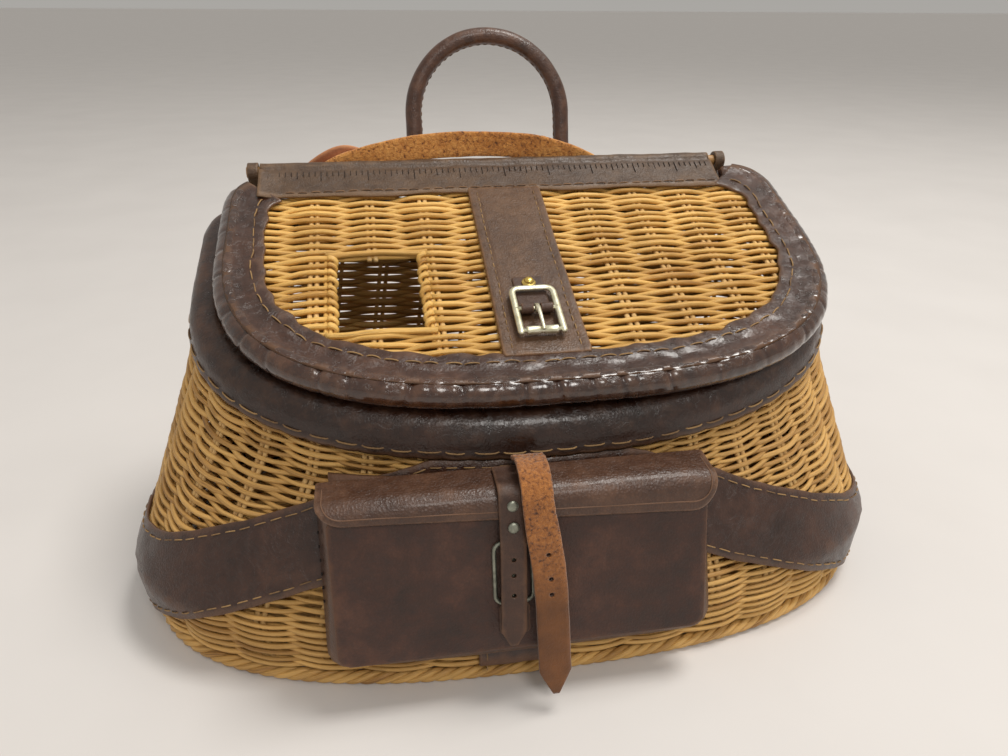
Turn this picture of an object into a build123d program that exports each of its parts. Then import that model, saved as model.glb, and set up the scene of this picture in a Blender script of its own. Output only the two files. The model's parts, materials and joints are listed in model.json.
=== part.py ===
"""Wicker fishing creel with a sloping hinged lid, leather trim, a front pocket and a carrying handle.

Millimetres. The origin is the middle of the bottom, +Z is up, the front is -Y and the lid hinges at the back.
"""
from build123d import *
import os
from math import atan2, copysign, cos, pi, radians, sin

# --- driving sizes: hinge line and lid plane ---
hinge_y = 92.0            # hinge line behind the middle of the bottom
hinge_z = 191.0           # hinge line above the floor
lid_slope = 21.0          # fall of the lid towards the front, degrees
top_shift = 6.0           # rim, lid and handle sit this far to the right of the bottom

# --- body ---
wall_thickness = 6.0
bottom_thickness = 8.0
heel_half_width, heel_front, heel_back = 200.0, -106.0, 101.0    # where the wall leaves the bottom
foot_half_width, foot_front, foot_back = heel_half_width - 14.7, heel_front + 13.7, heel_back - 9.7   # at the floor
belly_half_width, belly_front, belly_back = 204.0, -102.0, 101.0
heel_height, belly_height = 10.0, 32.0
rim_half_width, rim_front, rim_back = 157.0, -69.0, 88.0         # at the top of the rim
rim_top = 12.1            # top of the rim below the lid plane
bottom_widest, rim_widest = 0.0, 21.0                            # the outline is widest at this y
bottom_powers, rim_powers = (2.6, 4.0), (2.25, 8.0)              # squareness of the front and back halves
back_hollow = 6.0         # the back curves in by this much to sit on the hip
border_radius = 3.2
border_stand = 10.2       # middle of the border outside the foot outline
stake_pitch, stake_width, stake_depth = 30.0, 5.0, 2.0
stake_gap = 0.5           # stakes inside the weave

# --- rim ---
hoop_radius = 3.0
binding_leather = 1.8
binding_height = 14.4
hoop_slack = 0.4

# --- lid ---
lid_half_width = 157.0
lid_front = 179.0         # hinge line to the front of the roll, along the slope
lid_widest = 67.0
lid_back_gap = 8.0        # hinge line to the back edge of the weave
lid_powers = (2.8, 8.0)
roll_ends = 41.0          # the roll runs this far round each back corner, degrees
weave_thickness, weave_top = 6.0, 1.0
weaver_pitch = 7.0
roll_radius = 7.0
roll_drop = 3.0           # centre of the roll below the lid plane
flange_width, trim_leather = 10.5, 1.4
lid_band_width, lid_band_leather = 40.0, 2.2
lid_stake_pitch, lid_stake_radius, stake_pair_gap = 28.4, 1.3, 3.4
middle_stake_gap = 34.0   # between the two stake pairs beside the lid band
hole_centre_x, hole_centre_v = -71.5, -105.5
hole_width, hole_depth = 41.0, 55.0
hole_rod_radius = 1.8

# --- hinge ---
hinge_length = 264.0
hinge_leather = 2.0
strip_width = 28.0
cane_radius = 3.0
tab_width = 6.0
hinge_back_top, hinge_back_low = 13.0, 33.0    # leather down the back, below the lid plane

# --- lid buckle ---
buckle_centre_v = -131.0
buckle_centre_x = -1.0
buckle_width, buckle_length = 22.0, 31.0
buckle_wire = 2.2
bar_radius = 1.1
bar_lift = 3.7            # bar above the lid band
roller_radius = 1.9
roller_length = 14.6
loop_width, loop_leather = 15.0, 1.3
tongue_width = 2.4
stud_v, stud_radius = -110.5, 3.5

# --- pocket, set in its own sloping plane ---
pocket_x = -13.0
pocket_width, pocket_height = 160.0, 67.0
pocket_front_y, pocket_bottom_z = -114.5, 27.3
pocket_lean = 12.65       # backward lean of the pocket front, degrees
pocket_leather = 1.8
flap_width, flap_leather = 168.0, 2.2
flap_hinge_y, flap_hinge_z = -81.0, 98.0
flap_crest, flap_lip = 71.5, 62.0     # heights up the pocket front
flap_corner = 14.0

# --- straps on the front ---
flap_strap_x, flap_strap_width, strap_leather = -18.4, 11.8, 1.8
flap_strap_trim = 1.6     # the free end is cut back on the side where the closing strap hangs
flap_strap_pivot, flap_strap_tip = 51.0, 5.0
flap_strap_stand = 5.0    # middle of the strap in front of the pocket front
closing_width, closing_leather = 13.0, 2.0
closing_top_x, closing_lean = -8.6, 6.0
closing_pivot, closing_tip = 72.0, -19.0
closing_stand = 7.5
strap_point = 7.0
rivet_radius = 2.8
strap_hole_radius = 1.2

# --- pocket buckle ---
pocket_buckle_width, pocket_buckle_length = 18.0, 29.0
pocket_buckle_low = 22.0  # heel bar up the pocket front
pocket_wire = 2.0

# --- belly band and front band ---
band_leather = 1.8
band_half_height = 19.0
band_side_z, band_rise, band_reach = 22.0, 64.0, 195.0
front_band_x, front_band_width, front_band_top = -15.0, 36.0, 62.0

# --- handle ---
handle_x = 4.5
handle_half_span, handle_radius = 43.5, 4.75
handle_pivot_y, handle_pivot_z = 97.0, 148.0
handle_leg, handle_lean = 70.0, 13.0
handle_eye_radius, handle_pin_radius, pin_clearance = 5.5, 2.0, 0.08
eye_width, lug_cheek, lug_gap = 9.0, 2.5, 0.3
lug_low, lug_high = 134.0, 152.0

# --- shoulder strap ---
shoulder_leather, shoulder_width = 1.8, 14.0
shoulder_y = 97.8         # front face of the padded strap behind the lid
strap_fold_gap = 0.4      # between the layers of the folded strap
strap_lug_width, strap_lug_height = 16.0, 18.0
strap_lug_x = (handle_x - handle_half_span - 18.0, handle_x + handle_half_span + 52.0)
strap_lug_z = 148.0

clearance = 0.3

os.makedirs("parts", exist_ok=True)
slope, lean = radians(lid_slope), radians(pocket_lean)
lid_plane = Plane(origin=(top_shift, hinge_y, hinge_z), x_dir=(1, 0, 0), z_dir=(0, -sin(slope), cos(slope)))
hinge_section = Plane(origin=(top_shift, hinge_y, hinge_z), x_dir=(0, cos(slope), sin(slope)), z_dir=(1, 0, 0))
pocket_plane = Plane(origin=(pocket_x, pocket_front_y, pocket_bottom_z), x_dir=(1, 0, 0),
                     z_dir=(0, -cos(lean), sin(lean)))
side_section = Plane.YZ
rim_taper = (belly_half_width - rim_half_width) / (hinge_z - rim_top - belly_height)
huge = 700.0


def ring_point(turn, half_width, front, back, widest, powers, hollow=0.0):
    """Point of a D-shaped outline: two half superellipses that share their widest line, hollowed at the back."""
    c, s = cos(turn), sin(turn)
    power, reach = (powers[0], widest - front) if s < 0 else (powers[1], back - widest)
    size = (abs(c) ** power + abs(s) ** power) ** (1 / power)
    x, y = half_width * c / size, widest + reach * s / size
    if s > 0:
        y -= hollow * (s / size) ** 2 * cos(pi * x / (2 * half_width)) ** 2
    return x, y


def ring_points(half_width, front, back, widest, powers, hollow=0.0, start=0.0, end=2 * pi, count=28):
    """Points round the outline from start, end left out."""
    turns = [start + (end - start) * step / count for step in range(count)]
    return [ring_point(turn, half_width, front, back, widest, powers, hollow) for turn in turns]


def closed_curve(points):
    """Smooth closed curve whose points lie at even parameters, so that lofts between such curves join like places."""
    return Edge.make_spline([Vector(*point) for point in points], periodic=True,
                            parameters=[step / len(points) for step in range(len(points) + 1)])


def rim_sizes(level, grow):
    """Half width, front, back and widest line of the rim at a level of the lid plane, in its own coordinates."""
    side = grow - rim_taper * (level + rim_top)
    rows = [rim_front - side, rim_back + grow, rim_widest]
    return [rim_half_width + side] + [(y - hinge_y + level * sin(slope)) / cos(slope) for y in rows]


def rim_ring(level, grow, **span):
    """Rim outline in the lid plane's own coordinates, at a level of that plane."""
    return ring_points(*rim_sizes(level, grow), rim_powers, back_hollow, **span)


def rim_point(turn, level, grow):
    return ring_point(turn, *rim_sizes(level, grow), rim_powers, back_hollow)


def lid_ring(inset, **span):
    """Lid outline in the lid plane, moved in by inset."""
    return ring_points(lid_half_width - inset, inset - lid_front, roll_radius - lid_back_gap - inset,
                       -lid_widest, lid_powers, **span)


wall_levels = [(0.0, foot_half_width, foot_front, foot_back), (heel_height, heel_half_width, heel_front, heel_back),
               (belly_height, belly_half_width, belly_front, belly_back)]
rim_levels = (-(rim_top + 2 * binding_height), -rim_top)


def wall_form(grow, low=0.0):
    """Solid inside the wall's outer face moved out by grow, from a height up to the top of the rim."""
    with BuildPart() as form:
        for height, half, front, back in wall_levels:
            height = max(height, low)
            with BuildSketch(Plane.XY.offset(height)):
                with BuildLine():
                    add(closed_curve(ring_points(half + grow, front - grow, back + grow, bottom_widest,
                                                 bottom_powers, back_hollow)))
                make_face()
        for level in rim_levels:
            with BuildSketch(lid_plane.offset(level)):
                with BuildLine():
                    add(closed_curve(rim_ring(level, grow)))
                make_face()
        loft(ruled=True)
    return form.part


def wall_point(turn, height, grow):
    """Point of the wall's outer face moved out by grow, at a turn round it and a height above the floor."""
    line = []
    for z, half, front, back in wall_levels:
        x, y = ring_point(turn, half + grow, front - grow, back + grow, bottom_widest, bottom_powers, back_hollow)
        line.append(Vector(x, y, z))
    line += [in_lid([rim_point(turn, level, grow)], level)[0] for level in rim_levels]
    for low, high in zip(line, line[1:]):
        if height <= high.Z or high is line[-1]:
            return low + (high - low) * ((height - low.Z) / (high.Z - low.Z))


def lid_slab(low, high):
    """Everything between two levels of the lid plane."""
    with BuildPart() as slab:
        with BuildSketch(lid_plane.offset(low)):
            Rectangle(huge, huge)
        extrude(amount=high - low)
    return slab.part


def rod(points, radius, closed):
    """Eight-sided rod through the points, made in spans with flat ends."""
    points = [Vector(*point) for point in points]
    last = len(points) if closed else len(points) - 1
    sections = []
    for place, point in enumerate(points):
        before = points[place - 1] if place or closed else point
        after = points[(place + 1) % len(points)] if place < len(points) - 1 or closed else point
        with BuildSketch(Plane(origin=point, x_dir=(after - before).cross(Vector(0, 0, 1)), z_dir=after - before)) as end:
            RegularPolygon(radius, 8, rotation=22.5)
        sections.append(end.sketch.face().outer_wire())
    with BuildPart() as body:
        for start in range(0, last, (last + 1) // 2):
            span = [sections[place % len(points)] for place in range(start, min(start + (last + 1) // 2, last) + 1)]
            add(Solid.make_loft(span, ruled=True))
    return body.part


def in_lid(points, level):
    """Lid-plane points as world points."""
    return [lid_plane.from_local_coords(Vector(x, v, level)) for x, v in points]


def front_point(up, out):
    """World (y, z) of a place up the pocket front and out from it."""
    return (pocket_front_y + up * sin(lean) - out * cos(lean), pocket_bottom_z + up * cos(lean) + out * sin(lean))


def strap_outline(top, tip, width, top_x, run):
    """Pointed strap in the pocket plane, hanging from top to tip and drifting sideways by run."""
    half = width / 2
    low_x = top_x + run
    return [(top_x - half, top), (top_x + half, top), (low_x + half, tip + strap_point), (low_x, tip),
            (low_x - half, tip + strap_point)]



def save(piece, name):
    piece.label = name
    export_step(piece, f"parts/{name}.step")


# --- forms shared by what lies on the wall ---
wall_outer = wall_form(0)
wall_inner = wall_form(-wall_thickness, bottom_thickness)

# --- woven body ---
border_ring = ring_points(foot_half_width + border_stand, foot_front - border_stand, foot_back + border_stand,
                          bottom_widest, bottom_powers, back_hollow, count=72)
border_points = [(x, y, border_radius) for x, y in border_ring]
shell_top = -(rim_top + binding_leather + 2 * hoop_radius + 2 * hoop_slack)
with BuildPart() as basket_shell:
    add(wall_outer)
    add(wall_inner, mode=Mode.SUBTRACT)
    add(lid_slab(shell_top, shell_top + 60), mode=Mode.SUBTRACT)
save(basket_shell.part, "basket_shell")

with BuildPart() as bottom_border:
    add(rod(border_points, border_radius, True))
save(bottom_border.part, "bottom_border")

binding_low = -(rim_top + binding_height)
stake_face = -wall_thickness - stake_gap
stake_rows = range(-5, 6)


def stake_section(turn, height):
    """Flat cross-section of a wall stake that lies against the inside of the weave."""
    before, near, after = (wall_point(turn + step, height, stake_face) for step in (-0.02, 0, 0.02))
    side = (after - before).normalized() * (stake_width / 2)
    far = near + side.rotate(Axis.Z, 90).normalized() * stake_depth
    return Wire.make_polygon([near + side, near - side, far - side, far + side], close=True)


with BuildPart() as basket_stakes:
    for row in stake_rows:
        share = abs(row) * stake_pitch / belly_half_width
        for facing, power in ((-1, bottom_powers[0]), (1, bottom_powers[1])):
            turn = facing * atan2((1 - share ** power) ** (1 / power), copysign(share, row))
            top, bend = (in_lid([rim_point(turn, level, stake_face)], level)[0].Z for level in (binding_low, rim_levels[0]))
            heights = (bottom_thickness + 4, belly_height, bend, top - 2.5)
            add(Solid.make_loft([stake_section(turn, z) for z in heights], ruled=True))
save(basket_stakes.part, "basket_stakes")

# --- rim: cane hoop in a stitched leather binding ---
hoop_level = -(rim_top + binding_leather + hoop_slack + hoop_radius)
with BuildPart() as rim_hoop:
    add(rod(in_lid(rim_ring(hoop_level, -wall_thickness / 2, count=64), hoop_level), hoop_radius, True))
save(rim_hoop.part, "rim_hoop")

def rim_prism(low, high, grow):
    """Solid inside the rim outline between two levels of the lid plane."""
    with BuildPart() as prism:
        for level in (low, high):
            with BuildSketch(lid_plane.offset(level)):
                with BuildLine():
                    add(closed_curve(rim_ring(level, grow)))
                make_face()
        loft(ruled=True)
    return prism.part


groove_out, groove_in = 1.0, -wall_thickness - 1.0
with BuildPart() as rim_binding:
    add(rim_prism(binding_low, -rim_top, groove_out + binding_leather))
    add(rim_prism(binding_low - 1, -rim_top - binding_leather, groove_out), mode=Mode.SUBTRACT)
    add(rim_prism(-rim_top - binding_leather, -rim_top, groove_in), mode=Mode.SUBTRACT)
with BuildPart() as binding_inside:
    add(rim_prism(binding_low, -rim_top - binding_leather, groove_in))
    add(rim_prism(binding_low - 1, -rim_top + 1, groove_in - binding_leather), mode=Mode.SUBTRACT)
save(rim_binding.part, "rim_binding")
save(binding_inside.part, "rim_lining")


# --- leather bands on the wall ---
def wall_layer(region, outer, inner):
    """Layer between two distances from the wall's outer face, inside a region."""
    with BuildPart() as layer:
        add(region)
        add(wall_form(outer), mode=Mode.INTERSECT)
        add(wall_form(inner), mode=Mode.SUBTRACT)
    return layer.part


band_inner = 0.5
band_outer = band_inner + band_leather


def band_middle(x):
    """Height of the middle of the belly band: low at the sides, arched over the front."""
    share = min(abs(x - pocket_x) / band_reach, 1)
    return band_side_z + band_rise * cos(pi / 2 * share) ** 1.3


def belly_section(turn):
    """Cross-section of the belly band at a turn round the wall, bent where the wall bends."""
    middle = band_middle(belly_half_width * cos(turn)) if sin(turn) < 0 else band_side_z
    binding_edge = in_lid([rim_point(turn, binding_low, band_outer)], binding_low)[0].Z
    low = max(middle - band_half_height, 2 * border_radius + 0.8)
    high = min(middle + band_half_height, binding_edge - 1.0)
    first = min(max(heel_height, low + 0.5), high - 1.0)
    second = min(max(belly_height, first + 0.5), high - 1.0)
    bend = in_lid([rim_point(turn, rim_levels[0], band_outer)], rim_levels[0])[0].Z
    third = min(max(bend, second + 0.3), high - 0.3)
    heights = [low, first, second, third, high]
    corners = [wall_point(turn, z, band_outer) for z in heights]
    corners += [wall_point(turn, z, band_inner) for z in reversed(heights)]
    if abs(sin(turn)) < 1e-6:
        corners = [Vector(corner.X, 0, corner.Z) for corner in corners]
    return Wire.make_polygon(corners, close=True)


with BuildPart() as belly_band:
    for start in (0, pi):
        add(Solid.make_loft([belly_section(start + pi * step / 32) for step in range(33)]))
save(belly_band.part, "belly_band")

band_low = 2 * border_radius + 0.8
with BuildPart() as front_region:
    with BuildSketch(Plane.XY.offset(band_low)):
        with Locations((front_band_x, -90)):
            Rectangle(front_band_width, 120)
    extrude(amount=front_band_top - band_low)
with BuildPart() as front_band:
    add(wall_layer(front_region.part, band_outer, band_inner))
    add(belly_band.part, mode=Mode.SUBTRACT)
save(front_band.part, "front_band")

# --- pocket: back panel, gusset, front, flap ---
back_inner = band_outer + 0.3
back_outer = back_inner + pocket_leather
pocket_top = front_point(pocket_height, 0)[1]
with BuildPart() as pocket_back_region:
    with BuildSketch(Plane.XZ.offset(20)):
        with Locations((pocket_x, (pocket_bottom_z + pocket_top) / 2)):
            RectangleRounded(pocket_width, pocket_top - pocket_bottom_z, 6)
    extrude(amount=120)
with BuildPart() as pocket_back:
    add(wall_layer(pocket_back_region.part, back_outer, back_inner))
save(pocket_back.part, "pocket_back")

with BuildPart() as pocket_front:
    with BuildSketch(pocket_plane.offset(-pocket_leather)):
        with Locations((0, pocket_height / 2)):
            RectangleRounded(pocket_width, pocket_height, 5)
    extrude(amount=pocket_leather)
save(pocket_front.part, "pocket_front")

with BuildPart() as pocket_gusset:
    with BuildSketch(pocket_plane.offset(-pocket_leather)):
        with Locations((0, pocket_height / 2)):
            RectangleRounded(pocket_width, pocket_height, 5)
        with Locations((0, pocket_height / 2 + pocket_leather)):
            RectangleRounded(pocket_width - 2 * pocket_leather, pocket_height, 3.5, mode=Mode.SUBTRACT)
        with Locations((0, pocket_height)):
            Rectangle(pocket_width - 2 * pocket_leather, 20, mode=Mode.SUBTRACT)
    extrude(amount=-60)
    add(wall_form(back_outer + 0.1), mode=Mode.SUBTRACT)
    with Locations((pocket_x, 0, 0)):
        Box(huge, 2 * 70, huge, mode=Mode.SUBTRACT)
save(pocket_gusset.part, "pocket_gusset")

flap_middle = clearance + flap_leather / 2
flap_span = (pocket_x - flap_width / 2, pocket_x + flap_width / 2)
with BuildPart() as pocket_flap:
    with BuildSketch(side_section.offset(flap_span[0])):
        with BuildLine() as flap_line:
            FilletPolyline((flap_hinge_y + 0.6, flap_hinge_z - flap_leather / 2), front_point(flap_crest, flap_middle),
                           front_point(flap_lip, flap_middle), radius=5)
        trace(line_width=flap_leather)
    extrude(amount=flap_width)
    with BuildSketch(pocket_plane.offset(20)):
        with Locations((0, flap_lip + flap_corner)):
            Rectangle(flap_width + 10, 2 * flap_corner)
            RectangleRounded(flap_width, 2 * flap_corner + 0.02, flap_corner - 0.5, mode=Mode.SUBTRACT)
        with Locations((0, flap_lip + 2 * flap_corner)):
            Rectangle(flap_width + 12, 2 * flap_corner, mode=Mode.SUBTRACT)
    extrude(amount=-19.2, mode=Mode.SUBTRACT)
save(pocket_flap.part, "pocket_flap")

# --- flap strap: riveted part on the flap, free end over the buckle ---
strap_on_flap = clearance + flap_leather + 0.2 + strap_leather / 2
with BuildPart() as flap_strap_top:
    with BuildSketch(side_section.offset(flap_strap_x - flap_strap_width / 2)):
        with BuildLine():
            FilletPolyline((flap_hinge_y - 2.5, flap_hinge_z + 0.2 + strap_leather / 2),
                           front_point(flap_crest + strap_on_flap - flap_middle, strap_on_flap),
                           front_point(flap_lip, strap_on_flap),
                           front_point(flap_strap_pivot + strap_leather / 2 + clearance, flap_strap_stand), radius=5.5)
        trace(line_width=strap_leather)
    extrude(amount=flap_strap_width)
save(flap_strap_top.part, "flap_strap_top")

free_x, free_width = flap_strap_x - flap_strap_trim / 2, flap_strap_width - flap_strap_trim
with BuildPart() as flap_strap:
    with BuildSketch(pocket_plane.offset(flap_strap_stand - strap_leather / 2)):
        with BuildLine():
            Polyline(*strap_outline(flap_strap_pivot, flap_strap_tip, free_width, free_x - pocket_x, 0), close=True)
        make_face()
        with Locations(*[(free_x - pocket_x, up) for up in (46.0, 37.0, 28.0)]):
            Circle(strap_hole_radius, mode=Mode.SUBTRACT)
    extrude(amount=strap_leather)
    with Locations((free_x, *front_point(flap_strap_pivot, flap_strap_stand))):
        Cylinder(strap_leather / 2, free_width, rotation=(0, 90, 0))
save(flap_strap.part, "flap_strap")

with BuildPart() as flap_rivets:
    for up, stand in ((flap_lip + 5.0, strap_on_flap), (flap_lip - 4.0, strap_on_flap + 1.0)):
        y, z = front_point(up, stand + strap_leather / 2)
        with Locations(Plane(origin=(flap_strap_x, y, z), z_dir=pocket_plane.z_dir)):
            Cylinder(2.4, 0.9, align=(Align.CENTER, Align.CENTER, Align.MIN))
save(flap_rivets.part, "flap_rivets")

# --- closing strap: fold under the rim, free end over the pocket ---
closing_pivot_y, closing_pivot_z = front_point(closing_pivot, closing_stand)
with BuildPart() as closing_strap_top:
    with BuildSketch(side_section.offset(closing_top_x - closing_width / 2)):
        with BuildLine():
            ThreePointArc((flap_hinge_y - 1.0, flap_hinge_z + 5.5), (-93.0, 107.0),
                          (closing_pivot_y + 0.3, closing_pivot_z + closing_leather / 2 + clearance))
        trace(line_width=closing_leather)
    extrude(amount=closing_width)
save(closing_strap_top.part, "closing_strap_top")

closing_local_x = closing_top_x - pocket_x
with BuildPart() as closing_strap:
    with BuildSketch(pocket_plane.offset(closing_stand - closing_leather / 2)):
        with BuildLine():
            Polyline(*strap_outline(closing_pivot, closing_tip, closing_width, closing_local_x, closing_lean),
                     close=True)
        make_face()
        drift = closing_lean / (closing_pivot - closing_tip)
        with Locations(*[(closing_local_x + drift * (closing_pivot - up), up) for up in (46.0, 35.0, 28.0)]):
            Circle(strap_hole_radius, mode=Mode.SUBTRACT)
    extrude(amount=closing_leather)
    with Locations((closing_top_x, closing_pivot_y, closing_pivot_z)):
        Cylinder(closing_leather / 2, closing_width, rotation=(0, 90, 0))
save(closing_strap.part, "closing_strap")

# --- pocket buckle: frame with its heel bar, tongue, leather loop ---
buckle_plane = pocket_plane.offset(clearance)
buckle_local_x = flap_strap_x - pocket_x
with BuildPart() as pocket_buckle_frame:
    with BuildSketch(buckle_plane):
        with Locations((buckle_local_x, pocket_buckle_low + pocket_buckle_length / 2)):
            RectangleRounded(pocket_buckle_width, pocket_buckle_length, 4)
            RectangleRounded(pocket_buckle_width - 2 * pocket_wire, pocket_buckle_length - 2 * pocket_wire, 2.2,
                             mode=Mode.SUBTRACT)
    extrude(amount=pocket_wire)
save(pocket_buckle_frame.part, "pocket_buckle_frame")

heel = pocket_buckle_low + pocket_wire / 2
with BuildPart() as pocket_buckle_tongue:
    with BuildSketch(buckle_plane.offset(pocket_wire + 0.05)):
        with Locations((buckle_local_x, heel + pocket_buckle_length / 2 - 0.3)):
            RectangleRounded(2.0, pocket_buckle_length + 0.6, 0.9)
    extrude(amount=1.2)
save(pocket_buckle_tongue.part, "pocket_buckle_tongue")

loop_half = (pocket_buckle_width - 2 * pocket_wire) / 2 - 0.4
with BuildPart() as pocket_buckle_loop:
    with BuildSketch(pocket_plane.offset(0.02)):
        with Locations((buckle_local_x, pocket_buckle_low - 7.2)):
            RectangleRounded(2 * loop_half, 14, 2)
    extrude(amount=1.5)
save(pocket_buckle_loop.part, "pocket_buckle_loop")

# --- lid ---
hole_outer = (hole_width + 4 * hole_rod_radius + 0.2, hole_depth + 4 * hole_rod_radius + 0.2)
weave_inset = 2 * roll_radius + 0.9



def lid_prism(inset, low, high):
    """Solid inside the lid outline moved in by inset, between two levels of the lid plane."""
    with BuildPart() as prism:
        with BuildSketch(lid_plane.offset(low)):
            with BuildLine():
                Spline(*lid_ring(inset), periodic=True)
            make_face()
        extrude(amount=high - low)
    return prism.part


rows = int((lid_front - lid_back_gap) / weaver_pitch) - 2
with BuildPart() as lid_weave:
    for row in range(rows):
        v = -lid_back_gap - 2.4 * weaver_pitch - row * weaver_pitch
        with Locations(lid_plane * Pos(0, v, weave_top - weave_thickness / 2)):
            Box(2 * lid_half_width, weaver_pitch / 2, weave_thickness)
    add(lid_prism(weave_inset, weave_top - weave_thickness, weave_top), mode=Mode.INTERSECT)
    add(lid_prism(weave_inset, weave_top - weave_thickness + 1.0, weave_top - 1.0))
    with BuildSketch(lid_plane.offset(-20)):
        with Locations((hole_centre_x, hole_centre_v)):
            Rectangle(*hole_outer)
    extrude(amount=40, mode=Mode.SUBTRACT)
save(lid_weave.part, "lid_weave")

with BuildPart() as fish_hole_frame:
    with BuildSketch(lid_plane.offset(weave_top - weave_thickness + 0.4)):
        with Locations((hole_centre_x, hole_centre_v)):
            RectangleRounded(hole_width + 4 * hole_rod_radius, hole_depth + 4 * hole_rod_radius, 1.5)
            RectangleRounded(hole_width, hole_depth, 1.0, mode=Mode.SUBTRACT)
    extrude(amount=2 * hole_rod_radius)
save(fish_hole_frame.part, "fish_hole_frame")

stake_level = weave_top - weave_thickness - 0.1 - lid_stake_radius
with BuildPart() as lid_stakes:
    for place, flank, side in [(p, f, s) for p in range(4) for f in (-1, 1) for s in (-0.5, 0.5)]:
            x = flank * (middle_stake_gap / 2 + place * lid_stake_pitch) + side * stake_pair_gap
            half = lid_half_width - weave_inset - 2
            front_v = -lid_widest - (lid_front - lid_widest - weave_inset - 2) * (1 - (abs(x) / half) ** 2.8) ** (1 / 2.8)
            back_v = -strap_point - 20
            with Locations(lid_plane * Pos(x, (front_v + back_v) / 2, stake_level) * Rot(90, 0, 0)):
                Cylinder(lid_stake_radius, back_v - front_v)
    with BuildSketch(lid_plane.offset(-20)):
        with Locations((hole_centre_x, hole_centre_v)):
            Rectangle(hole_width, hole_depth)
    extrude(amount=40, mode=Mode.SUBTRACT)
save(lid_stakes.part, "lid_stakes")

ends = radians(roll_ends)
with BuildPart() as lid_roll:
    add(rod(in_lid(lid_ring(roll_radius, start=pi - ends, end=2 * pi + ends, count=48), -roll_drop),
            roll_radius, False))
save(lid_roll.part, "lid_roll")

strip_level = weave_top + 0.1
flange_inset = 2 * roll_radius + 0.2
with BuildPart() as lid_flange:
    add(lid_prism(flange_inset, strip_level, strip_level + trim_leather))
    add(lid_prism(flange_inset + flange_width, strip_level - 1, strip_level + 5), mode=Mode.SUBTRACT)
    with Locations(lid_plane * Pos(0, 10 - strip_width / 2, strip_level)):
        Box(hinge_length + 2 * clearance, strip_width + 20 + 2 * clearance, 20, mode=Mode.SUBTRACT)
save(lid_flange.part, "lid_flange")

band_back, band_front = strip_width + 0.4, lid_front - flange_inset - flange_width - 0.4
with BuildPart() as lid_band:
    with BuildSketch(lid_plane.offset(strip_level)):
        with Locations((0, -(band_back + band_front) / 2)):
            Rectangle(lid_band_width, band_front - band_back)
        with Locations((buckle_centre_x, stud_v)):
            Circle(1.4, mode=Mode.SUBTRACT)
    extrude(amount=lid_band_leather)
save(lid_band.part, "lid_band")

# --- hinge: leather strip rolled round a cane, held by leather down the back ---
ring_inner, ring_outer = cane_radius + clearance, cane_radius + clearance + hinge_leather
with BuildPart() as hinge_strip:
    with BuildSketch(hinge_section.offset(-hinge_length / 2)):
        Circle(ring_outer)
        with Locations((-(strip_width + 4) / 2, strip_level + hinge_leather / 2)):
            Rectangle(strip_width - 4, hinge_leather)
        Circle(ring_inner, mode=Mode.SUBTRACT)
    extrude(amount=hinge_length)
save(hinge_strip.part, "hinge_strip")

cane_length = hinge_length + 2 * (tab_width + 1)
with BuildPart() as hinge_cane:
    with BuildSketch(hinge_section.offset(-cane_length / 2)):
        Circle(cane_radius)
    extrude(amount=cane_length)
save(hinge_cane.part, "hinge_cane")

back_face = groove_out + binding_leather
with BuildPart() as back_layer_region:
    add(lid_slab(-hinge_back_low, -hinge_back_top))
    with Locations((top_shift, hinge_y, hinge_z)):
        Box(hinge_length + 2 * tab_width + 1, 60, 120, mode=Mode.INTERSECT)
with BuildPart() as hinge_back:
    add(back_layer_region.part)
    add(wall_form(back_face + 0.2 + hinge_leather), mode=Mode.INTERSECT)
    add(wall_form(back_face + 0.2), mode=Mode.SUBTRACT)
save(hinge_back.part, "hinge_back")

with BuildPart() as hinge_tabs:
    for side in (-1, 1):
        start = side * (hinge_length / 2 + 0.4 + tab_width / 2) - tab_width / 2
        with BuildSketch(hinge_section.offset(start)):
            Circle(ring_outer)
            with Locations((-ring_outer + hinge_leather / 2, -10)):
                Rectangle(hinge_leather, 20)
            Circle(cane_radius + 0.02, mode=Mode.SUBTRACT)
        extrude(amount=tab_width)
    add(wall_form(back_face + 0.2 + hinge_leather + 0.05), mode=Mode.SUBTRACT)
save(hinge_tabs.part, "hinge_tabs")

# --- lid buckle ---
bar_level = strip_level + lid_band_leather + bar_lift
buckle_frame_plane = lid_plane.offset(bar_level - buckle_wire / 2)
front_bar_v = buckle_centre_v - buckle_length / 2 + buckle_wire / 2
bar_turn = Rot(0, 90, 0)
with BuildPart() as lid_buckle_frame:
    with BuildSketch(buckle_frame_plane):
        with Locations((buckle_centre_x, buckle_centre_v)):
            RectangleRounded(buckle_width, buckle_length, 4.5)
            RectangleRounded(buckle_width - 2 * buckle_wire, buckle_length - 2 * buckle_wire, 2.4, mode=Mode.SUBTRACT)
        with Locations((buckle_centre_x, front_bar_v)):
            Rectangle(roller_length + 0.4, 2 * buckle_wire + 1.6, mode=Mode.SUBTRACT)
    extrude(amount=buckle_wire)
    with Locations(lid_plane * Pos(buckle_centre_x, buckle_centre_v, bar_level) * bar_turn):
        Cylinder(bar_radius, buckle_width - 2)
    with Locations(lid_plane * Pos(buckle_centre_x, front_bar_v, bar_level) * bar_turn):
        Cylinder(1.0, roller_length + 2)
save(lid_buckle_frame.part, "lid_buckle_frame")

with BuildPart() as lid_buckle_roller:
    with BuildSketch(hinge_section.offset(buckle_centre_x - roller_length / 2)):
        with Locations((front_bar_v, bar_level)):
            Circle(roller_radius)
            Circle(1.0 + pin_clearance, mode=Mode.SUBTRACT)
    extrude(amount=roller_length)
save(lid_buckle_roller.part, "lid_buckle_roller")

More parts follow.
